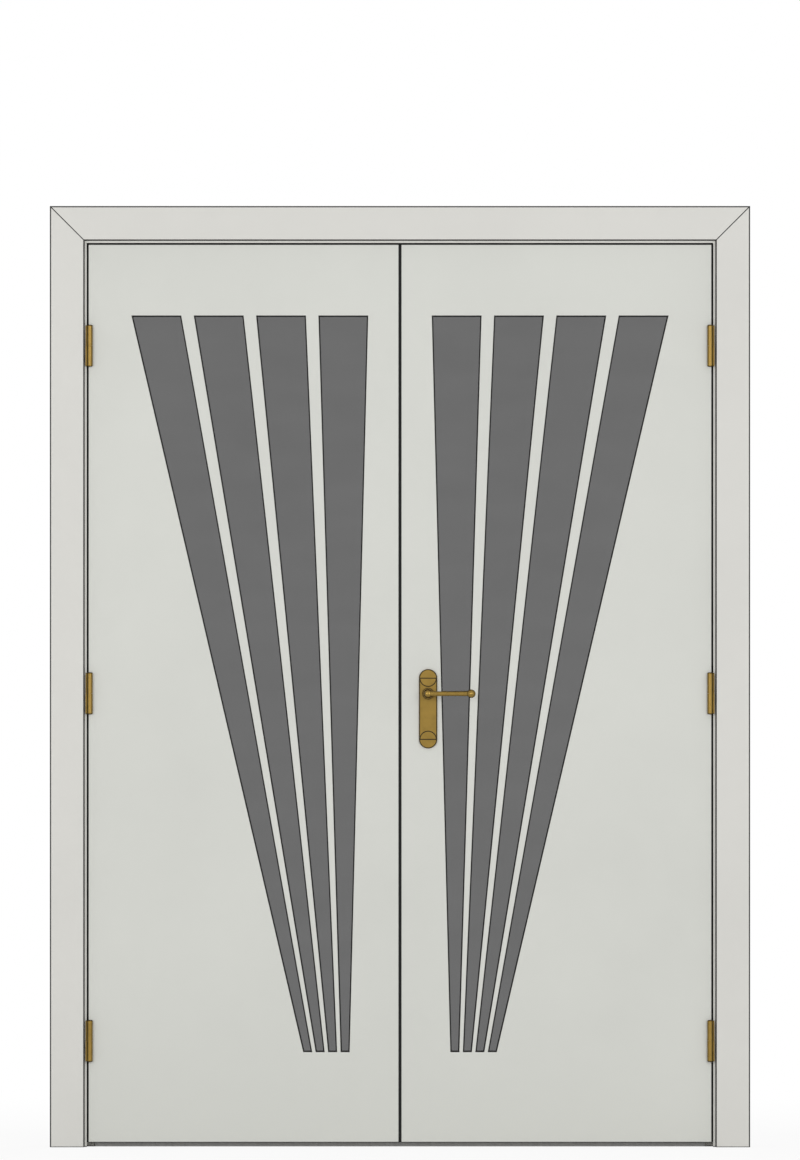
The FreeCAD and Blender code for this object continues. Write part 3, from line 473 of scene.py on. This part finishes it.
# Plates and hinges take the same brass darkened, as painted shade for the extra light they catch.
PLATE_SHADED_TONE = shaded(BRASS_TONE, 0.85)
HINGE_SHADED_TONE = shaded(BRASS_TONE, 0.84)
FRAME_TONE = srgb(215, 214, 209)
LEAF_TONE = srgb(212, 213, 207)
FINISHES = {
    "frame_paint": painted_timber("frame_paint_rolled", FRAME_TONE, lining_shade_lines),
    "leaf_paint": painted_timber("leaf_paint_rolled", LEAF_TONE, leaf_shade_lines),
    "core_timber": raw_timber("core_timber_raw"),
    "brass": satin_brass("brass_satin", BRASS_TONE, rough=0.34),
    "steel": plated_steel("steel_plated"),
    "smoked_glass": smoked_glass("glass_smoked"),
    "seal_rubber": seal_rubber("rubber_black"),
    "threshold_metal": anodised_bar("bar_anodised"),
}
CASING_PAINT = painted_timber("casing_paint_rolled", FRAME_TONE, casing_shade_lines)
HANDLED_BRASS = satin_brass("brass_handled", BRASS_TONE, rough=0.27)
PLATE_BRASS = satin_brass("brass_plate", PLATE_SHADED_TONE, rough=0.36, lines=plate_rim_shade)
HINGE_BRASS = satin_brass("brass_hinge", HINGE_SHADED_TONE, rough=0.34, lines=knuckle_end_shade)
LINE_BLACK = darkened_line("line_darkened")
OWN_FINISHES = {"casing_": CASING_PAINT, "escutcheon_": PLATE_BRASS,
                "hinge_jamb_": HINGE_BRASS, "hinge_leaf_": HINGE_BRASS}

# Each solid gets its slot's finish, or the one of its own kind

for part in frame["record"]["subparts"]:
    finish = FINISHES[part["material_slot"]]
    for start, own in OWN_FINISHES.items():
        if part["node"].startswith(start):
            finish = own
    surface = NODES[part["node"]].data
    surface.materials.clear()
    surface.materials.append(finish)


# Surfaces

def sheet_faces(rows, columns):
    """Corner numbers of a grid's quads, its last column joined to its first."""
    row = np.arange(rows - 1)[:, None]
    column = np.arange(columns)[None, :]
    after = (column + 1) % columns
    corners = (row * columns + column, row * columns + after,
               (row + 1) * columns + after, (row + 1) * columns + column)
    return np.stack(corners, axis=-1).reshape(-1, 4)


WELD = 1e-7
CREASE = 0.6


def made_piece(name, sheets, finish, body, crease=CREASE):
    """One mesh from grids of points, which join their last column to their first.

    A grid's end rows are each drawn to a point, or its last row repeats its first.
    """
    points, faces, count = [], [], 0
    for grid in sheets:
        rows, columns = grid.shape[:2]
        points.append(grid.reshape(-1, 3))
        faces.append(sheet_faces(rows, columns) + count)
        count += rows * columns
    mesh = bpy.data.meshes.new(name)
    mesh.from_pydata(np.concatenate(points).tolist(), [], np.concatenate(faces).tolist())
    shape = bmesh.new()
    shape.from_mesh(mesh)
    bmesh.ops.remove_doubles(shape, verts=shape.verts, dist=WELD)
    bmesh.ops.recalc_face_normals(shape, faces=shape.faces)
    shape.to_mesh(mesh)
    shape.free()
    mesh.polygons.foreach_set("use_smooth", np.ones(len(mesh.polygons), dtype=bool))
    mesh.set_sharp_from_angle(angle=crease)
    mesh.materials.append(finish)
    piece = bpy.data.objects.new(name, mesh)
    bpy.context.scene.collection.objects.link(piece)
    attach(piece, body)
    return piece


AROUND = 48


def round_angles(count):
    """Angles in equal steps once round a circle, without the last one that repeats the first."""
    return np.linspace(0, 2 * np.pi, count, endpoint=False)


def turned(start, along, across, distance, radius):
    """A turned form: at each distance along the axis, a circle of that radius about it."""
    along, across = np.asarray(along, float), np.asarray(across, float)
    third = np.cross(along, across)
    angle = round_angles(AROUND)
    ring = np.cos(angle)[:, None] * across + np.sin(angle)[:, None] * third
    return np.asarray(start) + distance[:, None, None] * along + radius[:, None, None] * ring[None]


def soft_max(first, second, width):
    """The larger of two values, with the corner between them filled by a curve of that width."""
    share = np.clip(0.5 + 0.5 * (first - second) / width, 0, 1)
    return second * (1 - share) + first * share + width * share * (1 - share) * 0.5


# Lever handles

SPINDLE = middle("spindle")
ARM_RADIUS = 5.5 * MM
KNOB_RADIUS = 9.5 * MM
ARM_WAIST = 0.06
ARM_STEPS = 120
NECK_RADIUS = 7.5 * MM
NECK_STEPS = 90
NOSE_REACH = 7.0 * MM
NOSE_START = 0.90
NOSE_POWER = 2.2
COLLAR_END = 0.16
FOOT_BEAD = 1.3 * MM
FOOT_BEAD_AT = 0.235
FOOT_BEAD_SPREAD = 0.035
THROAT = 0.7 * MM
THROAT_AT = 0.48
THROAT_SPREAD = 0.16
KNOB_BLEND = 2.2 * MM
LEVER_CREASE = 0.9
LEVERS = (("lever_front", -1), ("lever_rear", 1))


def bar_line(name, way):
    """The Y of the axis that a lever's bar and knob share: a knob's radius in from its outer side."""
    outer = low(name)[1] if way < 0 else high(name)[1]
    return outer - way * KNOB_RADIUS


def lever_arm(centre_y, tip_x):
    """Radius along X: a slightly waisted bar met by the circle of a ball, blended where they cross."""
    ball_x = tip_x - KNOB_RADIUS
    reach = tip_x - SPINDLE[0]
    share = (1 - np.cos(np.linspace(0, np.pi, ARM_STEPS))) / 2
    distance = reach * share
    run = distance / (ball_x - SPINDLE[0])
    bar = ARM_RADIUS * (1 - ARM_WAIST * np.sin(np.pi * np.clip(run, 0, 1)))
    ball = np.sqrt(np.clip(KNOB_RADIUS ** 2 - (SPINDLE[0] + distance - ball_x) ** 2, 0, None))
    before = soft_max(bar, ball, KNOB_BLEND)
    radius = np.where(SPINDLE[0] + distance < ball_x, np.minimum(before, KNOB_RADIUS), ball)
    radius[0] = 0
    return turned((SPINDLE[0], centre_y, SPINDLE[2]), (1, 0, 0), (0, 0, 1), distance, radius)


def lever_neck(root_y, nose_y):
    """Radius along Y: a plain foot, a bead, a hollow throat and a domed nose, in equal steps."""
    length = abs(nose_y - root_y)
    way = np.sign(nose_y - root_y)
    run = np.linspace(0, 1, NECK_STEPS)
    bead = FOOT_BEAD * np.exp(-((run - FOOT_BEAD_AT) / FOOT_BEAD_SPREAD) ** 2)
    throat = THROAT * np.exp(-((run - THROAT_AT) / THROAT_SPREAD) ** 2)
    nose = np.clip((run - NOSE_START) / (1 - NOSE_START), 0, 1)
    dome = np.sqrt(1 - nose ** NOSE_POWER)
    radius = (NECK_RADIUS + bead - throat) * dome
    radius = np.where(run < COLLAR_END, NECK_RADIUS, radius)
    radius[0] = 0
    return turned((SPINDLE[0], root_y, SPINDLE[2]), (0, way, 0), (0, 0, 1), run * length, radius)


def make_levers():
    """Each lever is a turned neck out of the plate and a turned bar with a knob across it."""
    for name, way in LEVERS:
        arm_y = bar_line(name, way)
        root_y = high(name)[1] if way < 0 else low(name)[1]
        sheets = [lever_neck(root_y, arm_y + way * NOSE_REACH), lever_arm(arm_y, high(name)[0])]
        piece = made_piece(name + "_turned", sheets, HANDLED_BRASS, "lever", LEVER_CREASE)
        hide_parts(name)


# Dark lines on the handle plates, and rings of painted shade on the collars and levers

LINE_WIDTH = 2.1 * MM
LINE_RISE = 0.14 * MM
LINE_TAPER = 0.02
LINE_AROUND = 12
STRAIGHT_STEPS = 40
ARC_STEPS = 60
RING_WIDTH = 1.5 * MM
RING_RISE = 0.3 * MM
RING_STEPS = 72
RING_AROUND = 10
# Radii of the painted shade rings on each collar, and the knob ring's place and size.
COLLAR_RINGS = (12.0 * MM, 9.4 * MM)
KNOB_RING_SHY = 0.8 * MM
KNOB_RING_SHARE = 0.96
PLATES = (("front", -1), ("rear", 1))


def carried_line(path, outward, way):
    """A flat oval section carried along a path, drawn in to nothing at both of its ends."""
    share = np.linspace(0, 1, len(path))
    size = np.sqrt(np.clip(np.minimum(share, 1 - share) / LINE_TAPER, 0, 1))
    angle = round_angles(LINE_AROUND)
    side = outward[:, None, :] * (LINE_WIDTH / 2 * np.cos(angle))[None, :, None]
    lift = np.array((0, way, 0)) * (LINE_RISE * np.sin(angle))[None, :, None]
    return path[:, None, :] + size[:, None, None] * (side + lift)


def plate_lines(plate, face_y, way):
    """At each round end, the end's own diameter and the half circle that completes its round."""
    reach = PLATE_HALF - PLATE_EDGE
    share = np.linspace(-1, 1, STRAIGHT_STEPS)
    angle = np.linspace(0, np.pi, ARC_STEPS)
    upward = np.tile((0.0, 0.0, 1.0), (STRAIGHT_STEPS, 1))
    sheets = []
    for centre_z, turn in ((high(plate)[2] - PLATE_HALF, -1), (low(plate)[2] + PLATE_HALF, 1)):
        centre = np.array((middle(plate)[0], face_y, centre_z))
        straight = centre + reach * share[:, None] * np.array((1.0, 0.0, 0.0))
        sheets.append(carried_line(straight, upward, way))
        out = np.stack((np.cos(angle), np.zeros_like(angle), turn * np.sin(angle)), axis=-1)
        sheets.append(carried_line(centre + reach * out, out, way))
    return sheets


def ring_line(centre, along, across, radius):
    """A thin oval section carried once round a circle about an axis."""
    angle = round_angles(RING_STEPS)
    along, across = np.asarray(along, float), np.asarray(across, float)
    out = np.cos(angle)[:, None] * across + np.sin(angle)[:, None] * np.cross(along, across)
    turn = round_angles(RING_AROUND)
    reach = radius + RING_WIDTH / 2 * np.cos(turn)
    lift = RING_RISE * np.sin(turn)
    grid = np.asarray(centre) + reach[:, None, None] * out[None] + lift[:, None, None] * along
    return np.concatenate((grid, grid[:1]))


def make_neck_rings():
    """Dark rings of painted shade: two on each collar's face, and one where each lever's bar meets its knob."""
    ball_x = high("lever_front")[0] - KNOB_RADIUS
    knob_x = ball_x - math.sqrt(KNOB_RADIUS ** 2 - ARM_RADIUS ** 2) - KNOB_RING_SHY
    collars, knobs = [], []
    for end, way in PLATES:
        plate = "escutcheon_" + end
        face = low(plate)[1] if way < 0 else high(plate)[1]
        for radius in COLLAR_RINGS:
            collars.append(ring_line((SPINDLE[0], face, SPINDLE[2]), (0, way, 0), (1, 0, 0), radius))
    for name, way in LEVERS:
        centre = (knob_x, bar_line(name, way), SPINDLE[2])
        knobs.append(ring_line(centre, (1, 0, 0), (0, 0, 1), ARM_RADIUS * KNOB_RING_SHARE))
    made_piece("collar_rings", collars, LINE_BLACK, "leaf_right")
    made_piece("knob_rings", knobs, LINE_BLACK, "lever")


def make_plate_lines():
    """The end lines of both handle plates, each on its plate's face."""
    for end, way in PLATES:
        face = LEAF_MID_Y + way * (LEAF_HALF + PLATE_RISE)
        lines = plate_lines("escutcheon_" + end, face, way)
        made_piece("plate_lines_" + end, lines, LINE_BLACK, "leaf_right")


# Latch spring

COIL_WIRE = 0.45 * MM
COIL_TURNS = 6
COIL_STEPS = 24
COIL_AROUND = 10


def make_latch_coil():
    """A circle of wire carried along a helix about the latch's line, with both ends closed."""
    spring = "latch_spring"
    first, last, centre = low(spring), high(spring), middle(spring)
    turn = np.linspace(0, 2 * np.pi * COIL_TURNS, COIL_STEPS * COIL_TURNS + 1)
    outward = np.stack((np.zeros_like(turn), np.cos(turn), np.sin(turn)), axis=-1)
    path = centre + (last[2] - centre[2] - COIL_WIRE) * outward
    path[:, 0] = np.linspace(first[0] + COIL_WIRE, last[0] - COIL_WIRE, len(turn))
    angle = round_angles(COIL_AROUND)
    ring = np.cos(angle)[None, :, None] * outward[:, None]
    ring = ring + np.sin(angle)[None, :, None] * np.array((1.0, 0.0, 0.0))
    ends = np.repeat(path[[0, -1], None], len(angle), axis=1)
    wire = np.concatenate((ends[:1], path[:, None] + COIL_WIRE * ring, ends[1:]))
    piece = made_piece("latch_coil", [wire], FINISHES["steel"], "leaf_right")
    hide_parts(spring)
    slide = next(joint for joint in frame["joints"] if joint["name"] == "latch_slide")
    keep = 1 - slide["range_m"][1] / (last[0] - first[0])
    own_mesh(piece)


# Hinge tips

TIP_RADIUS = 6.0 * MM
TIP_RISE = 1.6 * MM
TIP_SINK = 0.3 * MM
TIP_POWER = 2.6
TIP_STEPS = 16
SWINGS = {joint["child"]: joint["pos_m"] for joint in frame["record"]["behaviour"]["joints"]
          if joint["name"].endswith("_swing")}


def hinge_tip(centre, way):
    """A low button: radius falls off as a superellipse over its rise, above a short sunk foot."""
    run = np.sin(np.linspace(0, np.pi / 2, TIP_STEPS))
    crown = TIP_RADIUS * (1 - run ** TIP_POWER) ** (1 / TIP_POWER)
    distance = np.concatenate(((-TIP_SINK, -TIP_SINK), TIP_RISE * run))
    radius = np.concatenate(((0, TIP_RADIUS), crown))
    return turned(centre, (0, 0, way), (1, 0, 0), distance, radius)


def make_hinge_tips():
    """Upper tips stand on the leaves' knuckles, lower ones hang from the lining's."""
    lower = []
    for side in ("left", "right"):
        x, y, _ = SWINGS["leaf_" + side]
        upper = []
        for spot in SPOTS:
            node = "hinge_leaf_plate_%s_%s" % (side, spot)
            upper.append(hinge_tip((x, y, high(node)[2]), 1))
            lower.append(hinge_tip((x, y, low(node)[2]), -1))
        made_piece("hinge_tips_" + side, upper, HINGE_BRASS, "leaf_" + side)
    made_piece("hinge_tips_lower", lower, HINGE_BRASS, "frame")


# Screws

HINGE_SCREW = 3.6 * MM
FACE_SCREW = 3.2 * MM
SCREW_PROUD = 0.28 * MM
REAR_PROUD = 0.5 * MM
SCREW_FALL = 0.75
SCREW_FOOT = 0.4 * MM
SCREW_TURN = 2.4
SCREW_STEPS = 12
SCREW_AROUND = 36
SLOT_HALF = 0.55 * MM
SLOT_EASE = 0.06 * MM
SLOT_DEEP = 0.8
SLOT_END = 0.99
HINGE_PATTERN = ((-30.0 * MM, 19.0 * MM), (0.0, 9.0 * MM), (30.0 * MM, 19.0 * MM))
KEEP_INSET = 8.0 * MM
STRIKE_INSET = 6.5 * MM
BOLT_INSET = 9.0 * MM
REAR_INSET = 6.5 * MM


def screw_heads(seats, radius, proud=SCREW_PROUD):
    """Oval heads: a low dome over each seat, a slot cut across it at its own turn, and a flat foot."""
    dome = np.linspace(0, 1, SCREW_STEPS)[:, None]
    angle = round_angles(SCREW_AROUND)
    beside = np.abs(radius * dome * np.sin(angle)) - SLOT_HALF
    in_slot = 1 / (1 + np.exp(beside / SLOT_EASE)) * (dome < SLOT_END)
    lift = proud * (1 - SCREW_FALL * dome ** 2) - in_slot * SLOT_DEEP * proud
    sheets = []
    for count, (centre, normal) in enumerate(seats):
        normal = np.asarray(normal, float)
        across = np.array((0.0, 1.0, 0.0)) if abs(normal[1]) < 0.5 else np.array((1.0, 0.0, 0.0))
        turned_by = angle + SCREW_TURN * count
        flat = (radius * dome * np.cos(turned_by))[..., None] * across
        flat = flat + (radius * dome * np.sin(turned_by))[..., None] * np.cross(normal, across)
        below = np.asarray(centre) - SCREW_FOOT * normal
        top = np.asarray(centre) + flat + lift[..., None] * normal
        foot_tip = np.tile(below, (SCREW_AROUND, 1))
        sheets.append(np.concatenate((top, (below + flat[-1])[None], foot_tip[None])))
    return sheets


def hinge_seats(kind, side, normal_x):
    """Three seats down the flat of each hinge plate, the middle one nearer its back edge."""
    edge = high("jamb_left")[0] if kind == "jamb" else low("hinge_stile_left")[0]
    face_x = edge if side == "left" else -edge
    seats = []
    for spot in SPOTS:
        node = "hinge_%s_plate_%s_%s" % (kind, side, spot)
        for step, depth in HINGE_PATTERN:
            seats.append(((face_x, high(node)[1] - depth, middle(node)[2] + step), (normal_x, 0, 0)))
    return seats


def plate_seats(node, face, normal, inset, axis):
    """Two seats near the ends of a let-in plate, along its length."""
    seats = []
    for end, sign in ((low(node), 1), (high(node), -1)):
        centre = middle(node)
        centre[axis] = end[axis] + sign * inset
        centre[np.argmax(np.abs(normal))] = face
        seats.append((centre, normal))
    return seats


def rear_plate_seats():
    """Two seats on the rear handle plate, on its middle line and towards its round ends."""
    plate = "escutcheon_rear"
    x, face = middle(plate)[0], low(plate)[1] + PLATE_RISE
    reach = PLATE_HALF - REAR_INSET
    return [((x, face, z), (0, 1, 0)) for z in (high(plate)[2] - reach, low(plate)[2] + reach)]


def make_screws():
    """The heads on each body: hinge plates, let-in plates and the rear handle plate."""
    edge = high("strike_plate")[0]
    keep = plate_seats("head_keep", low("head_keep")[2], (0, 0, -1), KEEP_INSET, 0)
    strike = plate_seats("strike_plate", edge, (1, 0, 0), STRIKE_INSET, 2)
    for node in ("shoot_case_top", "shoot_case_bottom"):
        strike += plate_seats(node, edge, (1, 0, 0), BOLT_INSET, 2)
    latch = plate_seats("latch_case", -edge, (-1, 0, 0), STRIKE_INSET, 2)
    jambs = hinge_seats("jamb", "left", 1) + hinge_seats("jamb", "right", -1)
    heads = {
        "frame": screw_heads(jambs, HINGE_SCREW) + screw_heads(keep, FACE_SCREW),
        "leaf_left": (screw_heads(hinge_seats("leaf", "left", -1), HINGE_SCREW)
                      + screw_heads(strike, FACE_SCREW)),
        "leaf_right": (screw_heads(hinge_seats("leaf", "right", 1), HINGE_SCREW)
                       + screw_heads(latch, FACE_SCREW)
                       + screw_heads(rear_plate_seats(), HINGE_SCREW, REAR_PROUD)),
    }
    for body, sheets in heads.items():
        made_piece("screws_" + body, sheets, FINISHES["brass"], body)


# Seals

SEAL_POWER = 0.55
SEAL_SHY = 0.3 * MM
SEAL_DEPTH = 1.7 * MM
SEAL_AROUND = 28
UPRIGHT_ROWS = 40
LEVEL_ROWS = 30
BLADE_DEPTH = 2.2 * MM
BLADE_SHORT = 0.5 * MM
BLADES = (("left", -1, 9.0 * MM), ("right", 1, 4.0 * MM))


def capped(section, start, end, along, rows):
    """A closed section carried straight along one axis, with both ends drawn to their middles."""
    body = np.repeat(section[None], rows, axis=0)
    body[..., along] = np.linspace(start, end, rows)[:, None]
    tips = np.repeat(body[[0, -1]].mean(axis=1, keepdims=True), section.shape[0], axis=1)
    return np.concatenate((tips[:1], body, tips[1:]))


def rounded_bar(centre, half_a, half_b, axis_a, axis_b):
    """A superellipse about a centre, in the plane of two axes."""
    angle = round_angles(SEAL_AROUND)
    section = np.tile(np.asarray(centre, float), (len(angle), 1))
    section[:, axis_a] += half_a * np.sign(np.cos(angle)) * np.abs(np.cos(angle)) ** SEAL_POWER
    section[:, axis_b] += half_b * np.sign(np.sin(angle)) * np.abs(np.sin(angle)) ** SEAL_POWER
    return section


def make_meeting_seals():
    """A blade in each leaf's meeting edge, one behind the other, so that together they fill the gap."""
    half_width = LEAF_MEETING_X - SEAL_SHY / 2
    for side, way, deep in BLADES:
        stile = "meeting_stile_" + side
        centre = (way * SEAL_SHY / 2, low(stile)[1] + deep, 0)
        section = rounded_bar(centre, half_width, BLADE_DEPTH, 0, 1)
        ends = (low(stile)[2] + BLADE_SHORT, high(stile)[2] - BLADE_SHORT)
        blade = capped(section, *ends, 2, UPRIGHT_ROWS)
        made_piece("meeting_seal_" + side, [blade], FINISHES["seal_rubber"],
                   "leaf_" + side)


def make_frame_seal():
    """Bars in the rebate's corner, up both jambs and along the head, between leaf and lining."""
    jamb = high("jamb_left")[0]
    head = low("head_keep")[2]
    wide = (low("hinge_stile_left")[0] - jamb - SEAL_SHY) / 2
    tall = (head - LEAF_HEAD_Z - SEAL_SHY) / 2
    depth = low("stop_left")[1] - SEAL_DEPTH
    sheets = []
    for side in (1, -1):
        section = rounded_bar((side * (jamb + wide), depth, 0), wide, SEAL_DEPTH, 0, 1)
        sheets.append(capped(section, LEAF_FOOT_Z, head, 2, UPRIGHT_ROWS))
    section = rounded_bar((0, depth, head - tall), tall, SEAL_DEPTH, 2, 1)
    sheets.append(capped(section, jamb + 2 * wide, -jamb - 2 * wide, 0, LEVEL_ROWS))
    made_piece("frame_seal", sheets, FINISHES["seal_rubber"], "frame")


# Glazing beads

BEAD_WIDTH = 3.0 * MM
BEAD_RISE = 4.0 * MM
BEAD_DEEP = 18.0 * MM
BEAD_ROOT = 0.4 * MM
LIP_DEEP = 11.0 * MM
BEAD_STEPS = 9
SAME_PLACE = 6


def slot_corners(panel):
    """Each slot's four corners as (x, z), read across the top and the foot of the panel's openings."""
    mesh = NODES[panel].data
    points = np.empty(len(mesh.vertices) * 3)
    mesh.vertices.foreach_get("co", points)
    points = points.reshape(-1, 3)[:, [0, 2]]
    inside = (points > low(panel)[[0, 2]] + MM) & (points < high(panel)[[0, 2]] - MM)
    points = np.unique(np.round(points[inside.all(axis=1)], SAME_PLACE), axis=0)
    top = points[points[:, 1] > points[:, 1].max() - MM].reshape(-1, 2, 2)
    foot = points[points[:, 1] < points[:, 1].min() + MM].reshape(-1, 2, 2)
    return np.concatenate((top, foot[:, ::-1]), axis=1)


def bead_section():
    """Distance in from the slot's edge and depth from the leaf's face: a quarter round, then a wall."""
    turn = np.linspace(0, np.pi / 2, BEAD_STEPS)
    inward = np.concatenate((BEAD_WIDTH * np.sin(turn), (BEAD_WIDTH, BEAD_ROOT, BEAD_ROOT)))
    nose = LIP_DEEP - BEAD_RISE * np.cos(turn)
    deep = np.concatenate((nose, (BEAD_DEEP, BEAD_DEEP, LIP_DEEP)))
    return np.append(inward, inward[0]), np.append(deep, deep[0])


def slot_beads(corners, face_y, way):
    """The bead's section carried round a slot: each corner moves in along the mitre of its two edges."""
    edge = np.roll(corners, -1, axis=0) - corners
    edge /= np.linalg.norm(edge, axis=1, keepdims=True)
    normal = np.stack((edge[:, 1], -edge[:, 0]), axis=-1)
    before = np.roll(normal, 1, axis=0)
    mitre = (before + normal) / (1 + (before * normal).sum(axis=1, keepdims=True))
    inward, deep = bead_section()
    flat = corners[None] + inward[:, None, None] * mitre[None]
    depth = np.broadcast_to((face_y + way * deep)[:, None], flat.shape[:2])
    return np.stack((flat[..., 0], depth, flat[..., 1]), axis=-1)


def make_slot_beads():
    """Glazing beads round every slot, on both faces of each leaf."""
    for side in ("left", "right"):
        sheets = []
        for corners in slot_corners("panel_front_" + side):
            sheets.append(slot_beads(corners, LEAF_MID_Y - LEAF_HALF, 1))
            sheets.append(slot_beads(corners, LEAF_MID_Y + LEAF_HALF, -1))
        made_piece("slot_beads_" + side, sheets, FINISHES["seal_rubber"], "leaf_" + side)


# Threshold tread

TREAD_WIDE = 11.2 * MM
TREAD_INSET = 1.4 * MM
TREAD_SHORT = 1.0 * MM
TREAD_LIFT = 0.05 * MM
TREAD_SINK = 0.3 * MM
RIB_COUNT = 4
RIB_HALF = 0.3 * MM
RIB_STEPS = 33


def make_threshold_tread():
    """A ribbed insert along the bar's flat: cosine ribs over a flat underside."""
    first, last = low("threshold"), high("threshold")
    run = np.linspace(0, 1, RIB_STEPS)
    ribs = last[2] + TREAD_LIFT + RIB_HALF * (1 - np.cos(2 * np.pi * RIB_COUNT * run))
    across = first[1] + TREAD_INSET + TREAD_WIDE * np.append(run, (1.0, 0.0))
    height = np.append(ribs, (last[2] - TREAD_SINK,) * 2)
    section = np.stack((np.zeros_like(across), across, height), axis=-1)
    tread = capped(section, first[0] + TREAD_SHORT, last[0] - TREAD_SHORT, 0, LEVEL_ROWS)
    made_piece("threshold_tread", [tread], FINISHES["seal_rubber"], "frame")


make_levers()
make_plate_lines()
make_neck_rings()
make_latch_coil()
make_hinge_tips()
make_screws()
make_meeting_seals()
make_frame_seal()
make_slot_beads()
make_threshold_tread()


# Studio

FLOOR_REACH = 16.0
FLOOR_STEPS = 8
FLOOR_DROP = 0.4 * MM
FLOOR_DARK = (0.86, 0.86, 0.855)
FLOOR_LIGHT = (0.90, 0.90, 0.895)
SHADOW_REACH = (1.0, 4.5)
GLOW_SHARE = (0.88, 1.0)
WORLD_SOFT = 0.62
WHITE = (1.0, 1.0, 1.0, 1.0)


def seen_rays(finish):
    """1 for what the eye sees, directly, mirrored or through glass, and 0 for light on a matt surface."""
    camera, glossy, through = [finish.node("ShaderNodeLightPath", out=name)
                               for name in ("Is Camera Ray", "Is Glossy Ray", "Is Transmission Ray")]
    return camera + glossy + through


def white_floor():
    """Pale matt floor with a soft shadow near the door, and plain white to the eye further out."""
    floor = Finish("floor_pale")
    whole, (x, y, _) = floor.place()
    cloud = floor.noise(whole, scale=1.4, detail=2.0)
    tone = floor.ramp(cloud, [(0.3, FLOOR_DARK), (0.7, FLOOR_LIGHT)])
    matt = floor.node("ShaderNodeBsdfDiffuse", None, {"Color": tone})
    glow = floor.node("ShaderNodeEmission", None, {"Strength": 1.0})
    share = seen_rays(floor) * floor.clamped(floor.length(x, y), SHADOW_REACH, GLOW_SHARE)
    mixed = floor.node("ShaderNodeMixShader", None, {0: share, 1: matt, 2: glow})
    floor.node("ShaderNodeOutputMaterial", None, {"Surface": mixed})
    return floor.material


def make_floor():
    """A level square grid just under the door's foot."""
    side = FLOOR_STEPS + 1
    reach = np.linspace(-FLOOR_REACH, FLOOR_REACH, side)
    grid_x, grid_y = np.meshgrid(reach, reach)
    points = np.stack((grid_x, grid_y, np.full_like(grid_x, -FLOOR_DROP)), axis=-1).reshape(-1, 3)
    row, column = np.meshgrid(np.arange(FLOOR_STEPS), np.arange(FLOOR_STEPS), indexing="ij")
    first = row * side + column
    faces = np.stack((first, first + 1, first + side + 1, first + side), axis=-1).reshape(-1, 4)
    mesh = bpy.data.meshes.new("floor")
    mesh.from_pydata(points.tolist(), [], faces.tolist())
    mesh.materials.append(white_floor())
    floor = bpy.data.objects.new("floor", mesh)
    bpy.context.scene.collection.objects.link(floor)


def make_world():
    """White to the eye and in reflections, softer as light on the object."""
    world = bpy.data.worlds.new("studio")
    bpy.context.scene.world = world
    world.use_nodes = True
    sky = Finish("studio", world.node_tree)
    strength = (seen_rays(sky) > 0.5) * (1 - WORLD_SOFT) + WORLD_SOFT
    light = sky.node("ShaderNodeBackground", None, {"Color": WHITE, "Strength": strength})
    sky.node("ShaderNodeOutputWorld", None, {"Surface": light})


LAMP_ASIDE = 2.7
LAMP_AWAY = 6.4
LAMP_RISE = 1.9
LAMP_AIM = (0.0, 0.0, 1.0)
LAMP_SIZE = (1.7, 2.4)
LAMP_POWER = 84.0
LAMPS = (("front_left", -1, -1), ("front_right", 1, -1), ("rear_left", -1, 1), ("rear_right", 1, 1))


def make_lamps():
    """Four soft lamps, far enough aside that the glass doesn't mirror them to the camera."""
    for name, side, face in LAMPS:
        lamp = bpy.data.lights.new("lamp_" + name, "AREA")
        lamp.shape = "RECTANGLE"
        lamp.size, lamp.size_y = LAMP_SIZE
        lamp.energy = LAMP_POWER
        holder = bpy.data.objects.new("lamp_" + name, lamp)
        holder.location = (side * LAMP_ASIDE, face * LAMP_AWAY, LAMP_RISE)
        direction = holder.location - Vector(LAMP_AIM)
        holder.rotation_euler = direction.to_track_quat("Z", "Y").to_euler()
        bpy.context.scene.collection.objects.link(holder)


CAMERA_AWAY = 42.7
CAMERA_RISE = 1.2505
CAMERA_END = 200.0
LENS = 600.0
SENSOR = 36.0


def make_camera():
    """A long lens from far off, level with the middle of the picture, for an elevation's flat view."""
    camera = bpy.data.cameras.new("camera")
    camera.lens = LENS
    camera.sensor_width = SENSOR
    camera.clip_end = CAMERA_END
    eye = bpy.data.objects.new("camera", camera)
    eye.location = (0.0, -CAMERA_AWAY, CAMERA_RISE)
    eye.rotation_euler = (math.pi / 2, 0.0, 0.0)
    bpy.context.scene.collection.objects.link(eye)
    bpy.context.scene.camera = eye


make_floor()
make_world()
make_lamps()
make_camera()
bpy.context.scene.view_settings.view_transform = "Standard"
